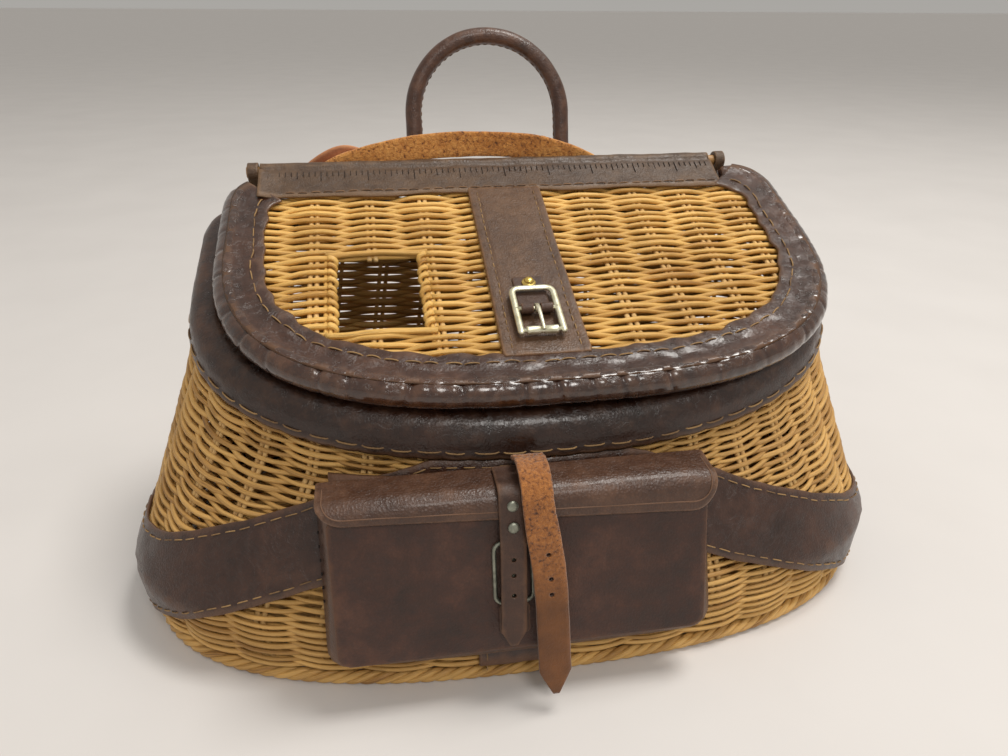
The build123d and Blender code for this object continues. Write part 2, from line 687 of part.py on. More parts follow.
with BuildPart() as lid_buckle_tongue:
    with BuildSketch(hinge_section.offset(buckle_centre_x - tongue_width / 2)):
        with Locations((buckle_centre_v, bar_level)):
            Circle(bar_radius + 1.4)
        tongue_reach = buckle_length / 2 + 1.5
        with Locations((buckle_centre_v - tongue_reach / 2, bar_level + roller_radius + 0.05 + 0.8)):
            Rectangle(tongue_reach, 1.6)
        with Locations((buckle_centre_v - 1.2, bar_level + 1.8)):
            Rectangle(2.4, 1.6)
        with Locations((buckle_centre_v, bar_level)):
            Circle(bar_radius + pin_clearance, mode=Mode.SUBTRACT)
    extrude(amount=tongue_width)
save(lid_buckle_tongue.part, "lid_buckle_tongue")

loop_outer = bar_radius + pin_clearance + loop_leather
loop_floor = strip_level + lid_band_leather + 0.05
loop_back_v = stud_v + 5.0
with BuildPart() as lid_buckle_loop:
    with BuildSketch(hinge_section.offset(buckle_centre_x - loop_width / 2)):
        with Locations((buckle_centre_v, bar_level)):
            Circle(loop_outer)
        with Locations(((buckle_centre_v + loop_back_v) / 2, loop_floor + loop_leather / 2)):
            Rectangle(loop_back_v - buckle_centre_v, loop_leather)
        with Locations((buckle_centre_v, bar_level)):
            Circle(bar_radius + pin_clearance, mode=Mode.SUBTRACT)
    extrude(amount=loop_width)
    with BuildSketch(lid_plane.offset(loop_floor - 1)):
        with Locations((buckle_centre_x, buckle_centre_v)):
            Rectangle(tongue_width + 0.8, 2 * loop_outer + 2.2)
        with Locations((buckle_centre_x, stud_v)):
            Circle(1.4)
    extrude(amount=12, mode=Mode.SUBTRACT)
save(lid_buckle_loop.part, "lid_buckle_loop")

with BuildPart() as lid_stud:
    with Locations(lid_plane * Pos(buckle_centre_x, stud_v, loop_floor + loop_leather)):
        Cylinder(stud_radius, 1.0, align=(Align.CENTER, Align.CENTER, Align.MIN))
        Cylinder(0.7 * stud_radius, 2.0, align=(Align.CENTER, Align.CENTER, Align.MIN))
    with Locations(lid_plane * Pos(buckle_centre_x, stud_v, strip_level + 0.2)):
        Cylinder(1.3, loop_floor + loop_leather - strip_level, align=(Align.CENTER, Align.CENTER, Align.MIN))
save(lid_stud.part, "lid_stud")

# --- carrying handle on two lugs ---
handle_plane = Plane(origin=(handle_x, handle_pivot_y, handle_pivot_z), x_dir=(1, 0, 0),
                     z_dir=(0, -cos(radians(handle_lean)), sin(radians(handle_lean))))
with BuildPart() as handle:
    with BuildLine(handle_plane) as handle_path:
        Line((-handle_half_span, 0), (-handle_half_span, handle_leg))
        ThreePointArc((-handle_half_span, handle_leg), (0, handle_leg + handle_half_span), (handle_half_span, handle_leg))
        Line((handle_half_span, handle_leg), (handle_half_span, 0))
    with BuildSketch(Plane(origin=handle_path.line @ 0, z_dir=handle_path.line % 0)):
        Circle(handle_radius)
    sweep(path=handle_path.line)
    with Locations(*[(handle_x + side * handle_half_span, handle_pivot_y, handle_pivot_z) for side in (-1, 1)]):
        Cylinder(handle_eye_radius, eye_width, rotation=(0, 90, 0))
        Cylinder(handle_pin_radius + pin_clearance, 2 * eye_width, rotation=(0, 90, 0), mode=Mode.SUBTRACT)
save(handle.part, "handle")

lug_half = eye_width / 2 + lug_gap + lug_cheek
lug_face = handle_pivot_y - handle_eye_radius - clearance
with BuildPart() as handle_lugs:
    for side in (-1, 1):
        x = handle_x + side * handle_half_span
        with Locations((x, lug_face - 8, (lug_low + lug_high) / 2)):
            Box(2 * lug_half, 16, lug_high - lug_low)
        for cheek in (-1, 1):
            with BuildSketch(side_section.offset(x + cheek * (lug_half - lug_cheek / 2) - lug_cheek / 2)):
                with Locations((handle_pivot_y, handle_pivot_z)):
                    Circle(handle_eye_radius)
                with Locations((handle_pivot_y - handle_eye_radius, handle_pivot_z - handle_eye_radius / 2)):
                    Rectangle(2 * handle_eye_radius, handle_eye_radius)
                with Locations((handle_pivot_y, handle_pivot_z)):
                    Circle(handle_pin_radius + 0.02, mode=Mode.SUBTRACT)
            extrude(amount=lug_cheek)
    add(wall_form(0.2), mode=Mode.SUBTRACT)
    add(wall_layer(back_layer_region.part, back_face + 0.3 + hinge_leather, 0), mode=Mode.SUBTRACT)
save(handle_lugs.part, "handle_lugs")

with BuildPart() as handle_pins:
    with Locations(*[(handle_x + side * handle_half_span, handle_pivot_y, handle_pivot_z) for side in (-1, 1)]):
        Cylinder(handle_pin_radius, 2 * lug_half, rotation=(0, 90, 0))
save(handle_pins.part, "handle_pins")

# --- shoulder strap behind the lid: padded arch, folded back on the left, on two leather lugs ---
arch = [(-107, 156), (-72, 185), (-6, 195), (64, 182), (strap_lug_x[1], strap_lug_z)]
fold_back = [(-107, 156), (-99, 186), (-79, 196), (-64, 184), (strap_lug_x[0], strap_lug_z)]
layer_step = shoulder_leather + strap_fold_gap
with BuildPart() as shoulder_strap:
    for layer, route in enumerate((arch, fold_back)):
        with BuildSketch(Plane.XZ.offset(-(shoulder_y + layer * layer_step))):
            with BuildLine():
                Spline(*route)
            trace(line_width=shoulder_width)
        extrude(amount=-shoulder_leather)
    with BuildSketch(Plane.XZ.offset(-shoulder_y)):
        with Locations(arch[0]):
            Circle(shoulder_width / 2)
    extrude(amount=-(layer_step + shoulder_leather))
save(shoulder_strap.part, "shoulder_strap")

with BuildPart() as shoulder_tail:
    with BuildSketch(Plane.XZ.offset(-(shoulder_y + layer_step))):
        with Locations((32, 190)):
            RectangleRounded(shoulder_width, 32, 4)
    extrude(amount=-shoulder_leather)
save(shoulder_tail.part, "shoulder_tail")

with BuildPart() as strap_lugs:
    for layer, x in zip((1, 0), strap_lug_x):
        face = shoulder_y + layer * layer_step - strap_fold_gap
        with Locations((x, face - 15, strap_lug_z - 2)):
            Box(strap_lug_width, 30, strap_lug_height)
    add(wall_form(0.2), mode=Mode.SUBTRACT)
    add(wall_layer(back_layer_region.part, back_face + 0.3 + hinge_leather, 0), mode=Mode.SUBTRACT)
save(strap_lugs.part, "strap_lugs")

with BuildPart() as strap_rivets:
    for layer, x in zip((1, 0), strap_lug_x):
        back = shoulder_y + layer * layer_step + shoulder_leather
        with BuildSketch(Plane.XZ.offset(-back)):
            with Locations((x, strap_lug_z)):
                Circle(rivet_radius)
        extrude(amount=-1.2)
save(strap_rivets.part, "strap_rivets")
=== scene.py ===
"""Looks of a wicker fishing creel: real woven rods, leather trim, straps, buckles and a carrying handle.

Lengths are written in millimetres, in the part's own frame, and turned into metres when a mesh is made.
"""
import json
import math
import random

import bmesh
import bpy
import numpy as np
from mathutils import Matrix, Vector, noise

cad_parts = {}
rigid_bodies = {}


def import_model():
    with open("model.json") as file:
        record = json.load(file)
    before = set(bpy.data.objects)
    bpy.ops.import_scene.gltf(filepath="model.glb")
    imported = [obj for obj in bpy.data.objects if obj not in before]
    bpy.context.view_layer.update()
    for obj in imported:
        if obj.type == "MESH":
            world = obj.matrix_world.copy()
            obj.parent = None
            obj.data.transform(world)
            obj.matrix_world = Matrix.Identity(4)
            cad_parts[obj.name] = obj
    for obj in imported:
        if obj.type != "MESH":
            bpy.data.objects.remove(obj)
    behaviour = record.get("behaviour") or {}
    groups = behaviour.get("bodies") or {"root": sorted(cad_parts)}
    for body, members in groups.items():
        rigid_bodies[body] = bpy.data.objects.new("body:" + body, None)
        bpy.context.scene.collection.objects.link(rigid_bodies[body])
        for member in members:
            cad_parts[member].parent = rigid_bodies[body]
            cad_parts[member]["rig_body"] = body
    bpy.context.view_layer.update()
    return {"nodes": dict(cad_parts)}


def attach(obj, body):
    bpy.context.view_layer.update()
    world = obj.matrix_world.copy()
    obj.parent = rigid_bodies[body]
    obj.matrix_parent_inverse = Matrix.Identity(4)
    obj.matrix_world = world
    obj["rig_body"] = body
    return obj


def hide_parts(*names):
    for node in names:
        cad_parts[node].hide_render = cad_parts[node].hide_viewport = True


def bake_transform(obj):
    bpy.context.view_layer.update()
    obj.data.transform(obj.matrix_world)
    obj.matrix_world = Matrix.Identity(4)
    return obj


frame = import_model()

rng = np.random.default_rng(7)
random.seed(7)

# ---------------------------------------------------------------- the part's own sizes
LID_X, HINGE_Y, HINGE_Z = 6.0, 92.0, 191.0
SLOPE, LEAN = math.radians(21.0), math.radians(12.65)
CS, SN = math.cos(SLOPE), math.sin(SLOPE)
CL, SL = math.cos(LEAN), math.sin(LEAN)
POCKET_X, POCKET_Y, POCKET_Z = -13.0, -114.5, 27.3
RIM_TOP, BINDING_LOW, BEND_LEVEL = -12.1, -26.5, -40.9
RIM_TAPER = (204 - 157) / (191 - 12.1 - 32)
WALL_ROWS = [(0.0, 175.5, -92.3, 91.3), (10.0, 189.5, -106.0, 101.0), (32.0, 193.0, -102.0, 101.0)]
FOOT = WALL_ROWS[0][1]


def ring_xy(turn, half, front, back, widest, powers, hollow=0.0):
    """Points of a D-shaped outline at these turns."""
    c, s = np.cos(turn), np.sin(turn)
    power = np.where(s < 0, powers[0], powers[1])
    reach = np.where(s < 0, widest - front, back - widest)
    size = (np.abs(c) ** power + np.abs(s) ** power) ** (1 / power)
    x, y = half * c / size, widest + reach * s / size
    y = y - np.where(s > 0, hollow * (s / size) ** 2 * np.cos(np.pi * x / (2 * half)) ** 2, 0)
    return x, y


def lid_xyz(x, v, w):
    """Lid-plane places as places of the part."""
    x, v, w = np.broadcast_arrays(np.asarray(x, float), np.asarray(v, float), np.asarray(w, float))
    return np.stack([LID_X + x, HINGE_Y + v * CS - w * SN, HINGE_Z + v * SN + w * CS], -1)


def front_xyz(u, up, out):
    """Places on the pocket front: across, up and out from it."""
    u, up, out = np.broadcast_arrays(np.asarray(u, float), np.asarray(up, float), np.asarray(out, float))
    return np.stack([POCKET_X + u, POCKET_Y + up * SL - out * CL, POCKET_Z + up * CL + out * SL], -1)


def rim_xyz(turn, level, grow):
    """Places of the rim outline at a level of the lid plane, moved out by grow."""
    turn, level, grow = np.broadcast_arrays(np.asarray(turn, float), np.asarray(level, float), np.asarray(grow, float))
    side = grow - RIM_TAPER * (level - RIM_TOP)
    rows = [(y - HINGE_Y + level * SN) / CS for y in (-69 - side, 88 + grow, 21.0)]
    x, v = ring_xy(turn, 157 + side, rows[0], rows[1], rows[2], (2.25, 8.0), 6.0)
    return lid_xyz(x, v, level)


def lid_ring(turn, inset):
    """Lid outline moved in by inset, as lid-plane places. The lid has settled a little to the right."""
    x, v = ring_xy(turn, 157 - inset, inset - 179, -1.0 - inset, -67.0, (2.8, 8.0))
    return x * 0.986 + 5.0, v


def wall_xyz(turn, height, grow):
    """Places of the wall's outer face moved out by grow."""
    turn, height, grow = np.broadcast_arrays(np.asarray(turn, float), np.asarray(height, float), np.asarray(grow, float))
    line = []
    for z, half, front, back in WALL_ROWS:
        x, y = ring_xy(turn, half + grow, front - grow, back + grow, 0.0, (2.6, 4.0), 6.0)
        line.append(np.stack([x, y, np.full_like(x, z)], -1))
    line += [rim_xyz(turn, level, grow) for level in (BEND_LEVEL, RIM_TOP)]
    out = line[0] + (line[1] - line[0]) * ((height - line[0][..., 2]) / 10.0)[..., None]
    for low, high in zip(line[1:], line[2:]):
        share = (height - low[..., 2]) / (high[..., 2] - low[..., 2])
        out = np.where((height >= low[..., 2])[..., None], low + (high - low) * share[..., None], out)
    return out


def unit(v):
    return v / np.maximum(np.linalg.norm(v, axis=-1, keepdims=True), 1e-9)


def wall_normal(turn, height):
    """Outward direction of the wall."""
    side = wall_xyz(turn + 0.004, height, 0) - wall_xyz(turn - 0.004, height, 0)
    up = wall_xyz(turn, height + 0.5, 0) - wall_xyz(turn, height - 0.5, 0)
    return unit(np.cross(side, up))


def even_turns(place, count, start=0.0, end=2 * math.pi, closed=True):
    """Turns that divide a line place(turn) into even lengths."""
    fine = np.linspace(start, end, 4001)
    points = place(fine)
    length = np.concatenate([[0], np.cumsum(np.linalg.norm(np.diff(points, axis=0), axis=1))])
    goal = np.linspace(0, length[-1], count + 1 if closed else count)
    return np.interp(goal[:count], length, fine), length[-1]


def wave(s, seed, size=1.0):
    """Smooth random values along a length: a few sines of unlike periods."""
    r = np.random.default_rng(abs(int(seed)))
    out = 0
    for period in (61.0, 37.0, 23.0, 13.0):
        out = out + math.sqrt(period / 61) * np.sin(2 * np.pi * (s / period + r.random()))
    return size * out / 2.2


# ---------------------------------------------------------------- meshes
SLOT_OF = {}


def finish_piece(obj, material, body, replaces=(), smooth=True):
    """Gives a new piece its material and body, and hides the nodes it replaces."""
    obj.data.materials.clear()
    obj.data.materials.append(material)
    if smooth and obj.type == "MESH":
        obj.data.polygons.foreach_set("use_smooth", [True] * len(obj.data.polygons))
    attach(obj, body)
    if replaces:
        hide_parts(*replaces)
    return obj


def link_mesh(name, verts, faces):
    mesh = bpy.data.meshes.new(name)
    mesh.from_pydata((np.asarray(verts) / 1000.0).tolist(), [], faces)
    mesh.update()
    obj = bpy.data.objects.new(name, mesh)
    bpy.context.scene.collection.objects.link(obj)
    return obj


class Parts:
    """Collects grids of points into one mesh, with the attributes that the materials read."""

    def __init__(self):
        self.verts, self.faces, self.tint, self.grain, self.count = [], [], [], [], 0

    def grid(self, points, wrap_u=False, wrap_v=True, cap_start=False, cap_end=False, tint=0.5, grain=None):
        """points[u, v]: rings v along u."""
        nu, nv = points.shape[:2]
        base = self.count
        index = np.arange(nu * nv).reshape(nu, nv) + base
        a = index if wrap_u else index[:-1]
        b = np.roll(index, -1, 0) if wrap_u else index[1:]
        if wrap_v:
            a2, b2 = np.roll(a, -1, 1), np.roll(b, -1, 1)
        else:
            a, a2, b, b2 = a[:, :-1], a[:, 1:], b[:, :-1], b[:, 1:]
        self.faces += np.stack([a, b, b2, a2], -1).reshape(-1, 4).tolist()
        if cap_start:
            self.faces.append(index[0].tolist())
        if cap_end:
            self.faces.append(index[-1][::-1].tolist())
        self.verts.append(points.reshape(-1, 3))
        self.tint.append(np.broadcast_to(np.asarray(tint, float).reshape(-1, 1), (nu, nv)).reshape(-1))
        self.grain.append(np.zeros((nu * nv, 3)) if grain is None else grain.reshape(-1, 3))
        self.count += nu * nv

    def rod(self, points, normals, wide, deep, tint=0.5, closed=False, sides=6, caps=True, offset=0.0):
        """A rod through the points: wide along the surface, deep across it."""
        points = np.asarray(points, float)
        after, before = np.roll(points, -1, 0), np.roll(points, 1, 0)
        if not closed:
            after[-1], before[0] = points[-1], points[0]
        tangent = unit(after - before)
        side = unit(np.cross(tangent, normals))
        up = np.cross(side, tangent)
        angle = 2 * np.pi * (np.arange(sides) + 0.5) / sides
        wide = np.broadcast_to(np.asarray(wide, float), (len(points),))
        deep = np.broadcast_to(np.asarray(deep, float), (len(points),))
        ring = (side[:, None] * (np.cos(angle)[None, :, None] * wide[:, None, None])
                + up[:, None] * (np.sin(angle)[None, :, None] * deep[:, None, None]))
        step = np.linalg.norm(np.diff(points, axis=0), axis=1)
        along = np.concatenate([[0], np.cumsum(step)])
        grain = np.empty((len(points), sides, 3))
        grain[..., 0] = along[:, None] / 1000 + offset
        grain[..., 1] = np.cos(angle)[None] * 0.5
        grain[..., 2] = np.sin(angle)[None] * 0.5 + offset * 7
        self.grid(points[:, None] + ring, wrap_u=closed, cap_start=caps and not closed, cap_end=caps and not closed,
                  tint=tint, grain=grain)

    def build(self, name):
        verts = np.concatenate(self.verts)
        obj = link_mesh(name, verts, self.faces)
        tint = obj.data.attributes.new("tint", "FLOAT", "POINT")
        tint.data.foreach_set("value", np.concatenate(self.tint).astype(np.float32))
        grain = obj.data.attributes.new("grain", "FLOAT_VECTOR", "POINT")
        grain.data.foreach_set("vector", np.concatenate(self.grain).astype(np.float32).reshape(-1))
        mesh = bmesh.new()
        mesh.from_mesh(obj.data)
        bmesh.ops.recalc_face_normals(mesh, faces=mesh.faces)
        mesh.to_mesh(obj.data)
        mesh.free()
        return obj


def slab_ring(width, thick, edge=0.7, across=10):
    """Closed outline of a strap's section: (across, out) pairs, with rounded edges."""
    half, deep = width / 2, thick / 2
    edge = min(edge, deep)
    a = np.linspace(-half + edge, half - edge, across)
    arc = np.linspace(0, np.pi / 2, 3)
    top = [(x, deep) for x in a]
    right = [(half - edge + edge * math.sin(t), deep - edge + edge * math.cos(t)) for t in arc[1:]]
    right += [(half - edge + edge * math.cos(t), -deep + edge - edge * math.sin(t)) for t in arc]
    bottom = [(x, -deep) for x in a[::-1]]
    left = [(-x, y) for x, y in right][::-1]
    return np.array(top + right + bottom[1:] + left[:-1] if edge >= deep else top + right[:-1] + bottom + left[:-1])


def ribbon(name, points, normals, width, thick, edge=0.7, across=10, lift=None, wrap=False, parts=None, sides=None):
    """A strap along the points. width may change along it, and lift(along, across) moves its faces outward."""
    points, normals = np.asarray(points, float), unit(np.asarray(normals, float))
    after, before = np.roll(points, -1, 0), np.roll(points, 1, 0)
    if not wrap:
        after[-1], before[0] = points[-1], points[0]
    tangent = unit(after - before)
    side = unit(np.cross(tangent, normals)) if sides is None else np.broadcast_to(np.asarray(sides, float), points.shape)
    up = unit(np.cross(side, tangent))
    width = np.broadcast_to(np.asarray(width, float), (len(points),))
    along = np.concatenate([[0], np.cumsum(np.linalg.norm(np.diff(points, axis=0), axis=1))])
    section = slab_ring(1.0, thick, 0.0001, across)
    grid = np.empty((len(points), 0, 3))
    rings = []
    for k in range(len(points)):
        ring = slab_ring(max(width[k], 2 * edge + 0.2), thick, edge, across)
        out = ring[:, 1].copy()
        if lift is not None:
            out = out + lift(along[k], ring[:, 0])
        rings.append(points[k] + ring[:, :1] * side[k] + out[:, None] * up[k])
    grid = np.stack(rings)
    own = parts or Parts()
    grain = np.empty(grid.shape)
    grain[..., 0], grain[..., 1], grain[..., 2] = along[:, None] / 1000, np.arange(grid.shape[1])[None] / 1000, 0
    own.grid(grid, wrap_u=wrap, cap_start=not wrap, cap_end=not wrap, grain=grain)
    return own if parts is not None else own.build(name)


def spline(points, count):
    """Smooth line through the points (Catmull-Rom), evenly spaced."""
    p = np.asarray(points, float)
    p = np.concatenate([[2 * p[0] - p[1]], p, [2 * p[-1] - p[-2]]])
    fine = []
    for i in range(1, len(p) - 2):
        t = np.linspace(0, 1, 40, endpoint=False)[:, None]
        a, b, c, d = p[i - 1], p[i], p[i + 1], p[i + 2]
        fine.append(0.5 * (2 * b + (c - a) * t + (2 * a - 5 * b + 4 * c - d) * t ** 2 + (3 * b - a - 3 * c + d) * t ** 3))
    fine = np.concatenate(fine + [p[-2:-1]])
    return even_line(fine, count)


def even_line(fine, count):
    """The line's points at even lengths."""
    fine = np.asarray(fine, float)
    length = np.concatenate([[0], np.cumsum(np.linalg.norm(np.diff(fine, axis=0), axis=1))])
    goal = np.linspace(0, length[-1], count)
    return np.stack([np.interp(goal, length, fine[:, k]) for k in range(fine.shape[1])], 1)


def filleted(points, radius, count):
    """Line through the corners, each rounded to a radius."""
    p = [np.asarray(q, float) for q in points]
    fine = [p[0]]
    for before, corner, after in zip(p, p[1:], p[2:]):
        into, out = unit(corner - before), unit(after - corner)
        turn = math.acos(float(np.clip(into @ out, -1, 1)))
        cut = radius * math.tan(turn / 2)
        a, b = corner - into * cut, corner + out * cut
        for t in np.linspace(0, 1, 16):
            fine.append((1 - t) ** 2 * a + 2 * t * (1 - t) * corner + t ** 2 * b)
    fine.append(p[-1])
    return even_line(fine, count)


def stitches(parts, points, normals, pitch, share=0.72, radius=0.38, sink=0.35, seed=1, closed=False, side=0.0):
    """Running stitches along a line: each rises from one hole and sinks into the next."""
    points, normals = np.asarray(points, float), unit(np.asarray(normals, float))
    if closed:
        points, normals = np.concatenate([points, points[:1]]), np.concatenate([normals, normals[:1]])
    length = np.concatenate([[0], np.cumsum(np.linalg.norm(np.diff(points, axis=0), axis=1))])
    r = np.random.default_rng(abs(int(seed)))
    count = max(1, int(length[-1] / pitch))
    for k in range(count):
        start = (k + 0.5 * (1 - share) + r.uniform(-0.05, 0.05)) * length[-1] / count
        goal = start + np.linspace(0, share * r.uniform(0.88, 1.08) * length[-1] / count, 6)
        p = np.stack([np.interp(goal, length, points[:, i]) for i in range(3)], 1)
        n = unit(np.stack([np.interp(goal, length, normals[:, i]) for i in range(3)], 1))
        lift = np.array([-sink - radius, radius * 0.35, radius * 0.75, radius * 0.75, radius * 0.35, -sink - radius])
        t = unit(p[-1] - p[0])
        across = unit(np.cross(n, t))
        p = p + n * lift[:, None] + across * (side * np.array([0, .5, 1, 1, .5, 0]) + r.uniform(-0.15, 0.15))[:, None]
        parts.rod(p, n, radius, radius, tint=r.uniform(0.2, 0.9), sides=5)


def soften(node, name, material, body, voxel=0.8, smooth=6, swell=0.0, rough=0.12, seed=3):
    """A copy of a small leather node with worn, rounded edges and an uneven face."""
    obj = frame["nodes"][node].copy()
    obj.data = frame["nodes"][node].data.copy()
    obj.name, obj.data.name = name, name
    obj.parent = None
    for key in list(obj.keys()):
        del obj[key]
    bpy.context.scene.collection.objects.link(obj)
    obj.hide_render = obj.hide_viewport = False
    remesh = obj.modifiers.new("remesh", "REMESH")
    remesh.mode, remesh.voxel_size = "VOXEL", voxel / 1000
    smoother = obj.modifiers.new("smooth", "SMOOTH")
    smoother.iterations, smoother.factor = smooth, 0.5
    apply_modifiers(obj)
    for vertex in obj.data.vertices:
        p = vertex.co * 1000
        vertex.co += vertex.normal * ((swell + rough * noise.noise(Vector(p) / 4 + Vector((seed, 0, 0)))) / 1000)
    obj.data.update()
    return finish_piece(obj, material, body, (node,))


def apply_modifiers(obj):
    bpy.context.view_layer.update()
    graph = bpy.context.evaluated_depsgraph_get()
    mesh = bpy.data.meshes.new_from_object(obj.evaluated_get(graph))
    old = obj.data
    obj.modifiers.clear()
    obj.data = mesh
    mesh.name = obj.name
    if old.users == 0:
        bpy.data.meshes.remove(old)


# ---------------------------------------------------------------- materials
def make(tree, kind, inputs=None, **settings):
    node = tree.nodes.new(kind)
    for key, value in settings.items():
        setattr(node, key, value)
    for key, value in (inputs or {}).items():
        socket = node.inputs[key]
        if isinstance(value, bpy.types.NodeSocket):
            tree.links.new(value, socket)
        else:
            socket.default_value = value
    return node


def srgb(r, g, b):
    def line(c):
        c = c / 255
        return c / 12.92 if c <= 0.04045 else ((c + 0.055) / 1.055) ** 2.4
    return (line(r), line(g), line(b), 1.0)


def new_material(name, rough=0.5):
    material = bpy.data.materials.new(name)
    material.use_nodes = True
    tree = material.node_tree
    shader = tree.nodes["Principled BSDF"]
    shader.inputs["Roughness"].default_value = rough
    return material, tree, shader


def ramp(tree, value, stops):
    node = make(tree, "ShaderNodeValToRGB", {0: value})
    line = node.color_ramp
    while len(line.elements) < len(stops):
        line.elements.new(0.5)
    for element, (place, colour) in zip(line.elements, stops):
        element.position, element.color = place, colour
    return node.outputs[0]


def place(tree, scale=(1, 1, 1)):
    """Object coordinates, scaled."""
    coordinate = make(tree, "ShaderNodeTexCoord").outputs["Object"]
    return make(tree, "ShaderNodeMapping", {"Vector": coordinate, "Scale": scale}).outputs[0]


def noise_of(tree, vector, scale, detail=4.0, rough=0.55, distortion=0.0):
    return make(tree, "ShaderNodeTexNoise", {"Vector": vector, "Scale": scale, "Detail": detail, "Roughness": rough,
                                             "Distortion": distortion}).outputs[0]


def math_of(tree, operation, a, b=0.0, clamp=False):
    return make(tree, "ShaderNodeMath", {0: a, 1: b}, operation=operation, use_clamp=clamp).outputs[0]


def mix_of(tree, factor, a, b, blend="MIX"):
    node = make(tree, "ShaderNodeMix", None, data_type="RGBA", blend_type=blend)
    for key, value in ((0, factor), (6, a), (7, b)):
        if isinstance(value, bpy.types.NodeSocket):
            tree.links.new(value, node.inputs[key])
        else:
            node.inputs[key].default_value = value
    return node.outputs[2]


def bump(tree, height, strength, distance, normal=None):
    inputs = {"Height": height, "Strength": strength, "Distance": distance}
    if normal is not None:
        inputs["Normal"] = normal
    return make(tree, "ShaderNodeBump", inputs).outputs[0]


def attribute(tree, name, kind="Fac"):
    return make(tree, "ShaderNodeAttribute", None, attribute_name=name, attribute_type="GEOMETRY").outputs[kind]


def wicker_material(name, light, middle, dark, rough=0.42):
    """Peeled willow: tone changes from rod to rod, fine grain along each one, darker knots and grime."""
    material, tree, shader = new_material(name)
    tint, grain = attribute(tree, "tint"), attribute(tree, "grain", "Vector")
    long_grain = make(tree, "ShaderNodeMapping", {"Vector": grain, "Scale": (22, 9, 9)}).outputs[0]
    patch = make(tree, "ShaderNodeMapping", {"Vector": grain, "Scale": (30, 1.2, 1.2)}).outputs[0]
    streak = noise_of(tree, long_grain, 1.0, 5.0, 0.6, 0.3)
    blotch = noise_of(tree, patch, 1.0, 3.0, 0.6)
    grime = noise_of(tree, place(tree), 22.0, 4.0, 0.6)
    tone = math_of(tree, "ADD", math_of(tree, "MULTIPLY", tint, 0.62), math_of(tree, "MULTIPLY", blotch, 0.55))
    tone = math_of(tree, "ADD", tone, math_of(tree, "MULTIPLY", math_of(tree, "SUBTRACT", streak, 0.5), 0.95))
    colour = ramp(tree, tone, [(0.12, dark), (0.42, middle), (0.66, light), (0.95, tuple(min(1, c * 1.18) for c in light[:3]) + (1,))])
    spots = ramp(tree, blotch, [(0.24, srgb(96, 60, 26)), (0.33, (1, 1, 1, 1))])
    colour = mix_of(tree, 0.55, colour, mix_of(tree, 1.0, colour, spots, "MULTIPLY"))
    dusty = ramp(tree, grime, [(0.35, (0.80, 0.76, 0.70, 1)), (0.6, (1, 1, 1, 1))])
    colour = mix_of(tree, 1.0, colour, dusty, "MULTIPLY")
    tree.links.new(colour, shader.inputs["Base Color"])
    gloss = math_of(tree, "ADD", math_of(tree, "MULTIPLY", streak, 0.35), rough - 0.14)
    tree.links.new(gloss, shader.inputs["Roughness"])
    shader.inputs["Coat Weight"].default_value = 0.12
    shader.inputs["Coat Roughness"].default_value = 0.25
    tree.links.new(bump(tree, streak, 0.7, 0.0009), shader.inputs["Normal"])
    return material


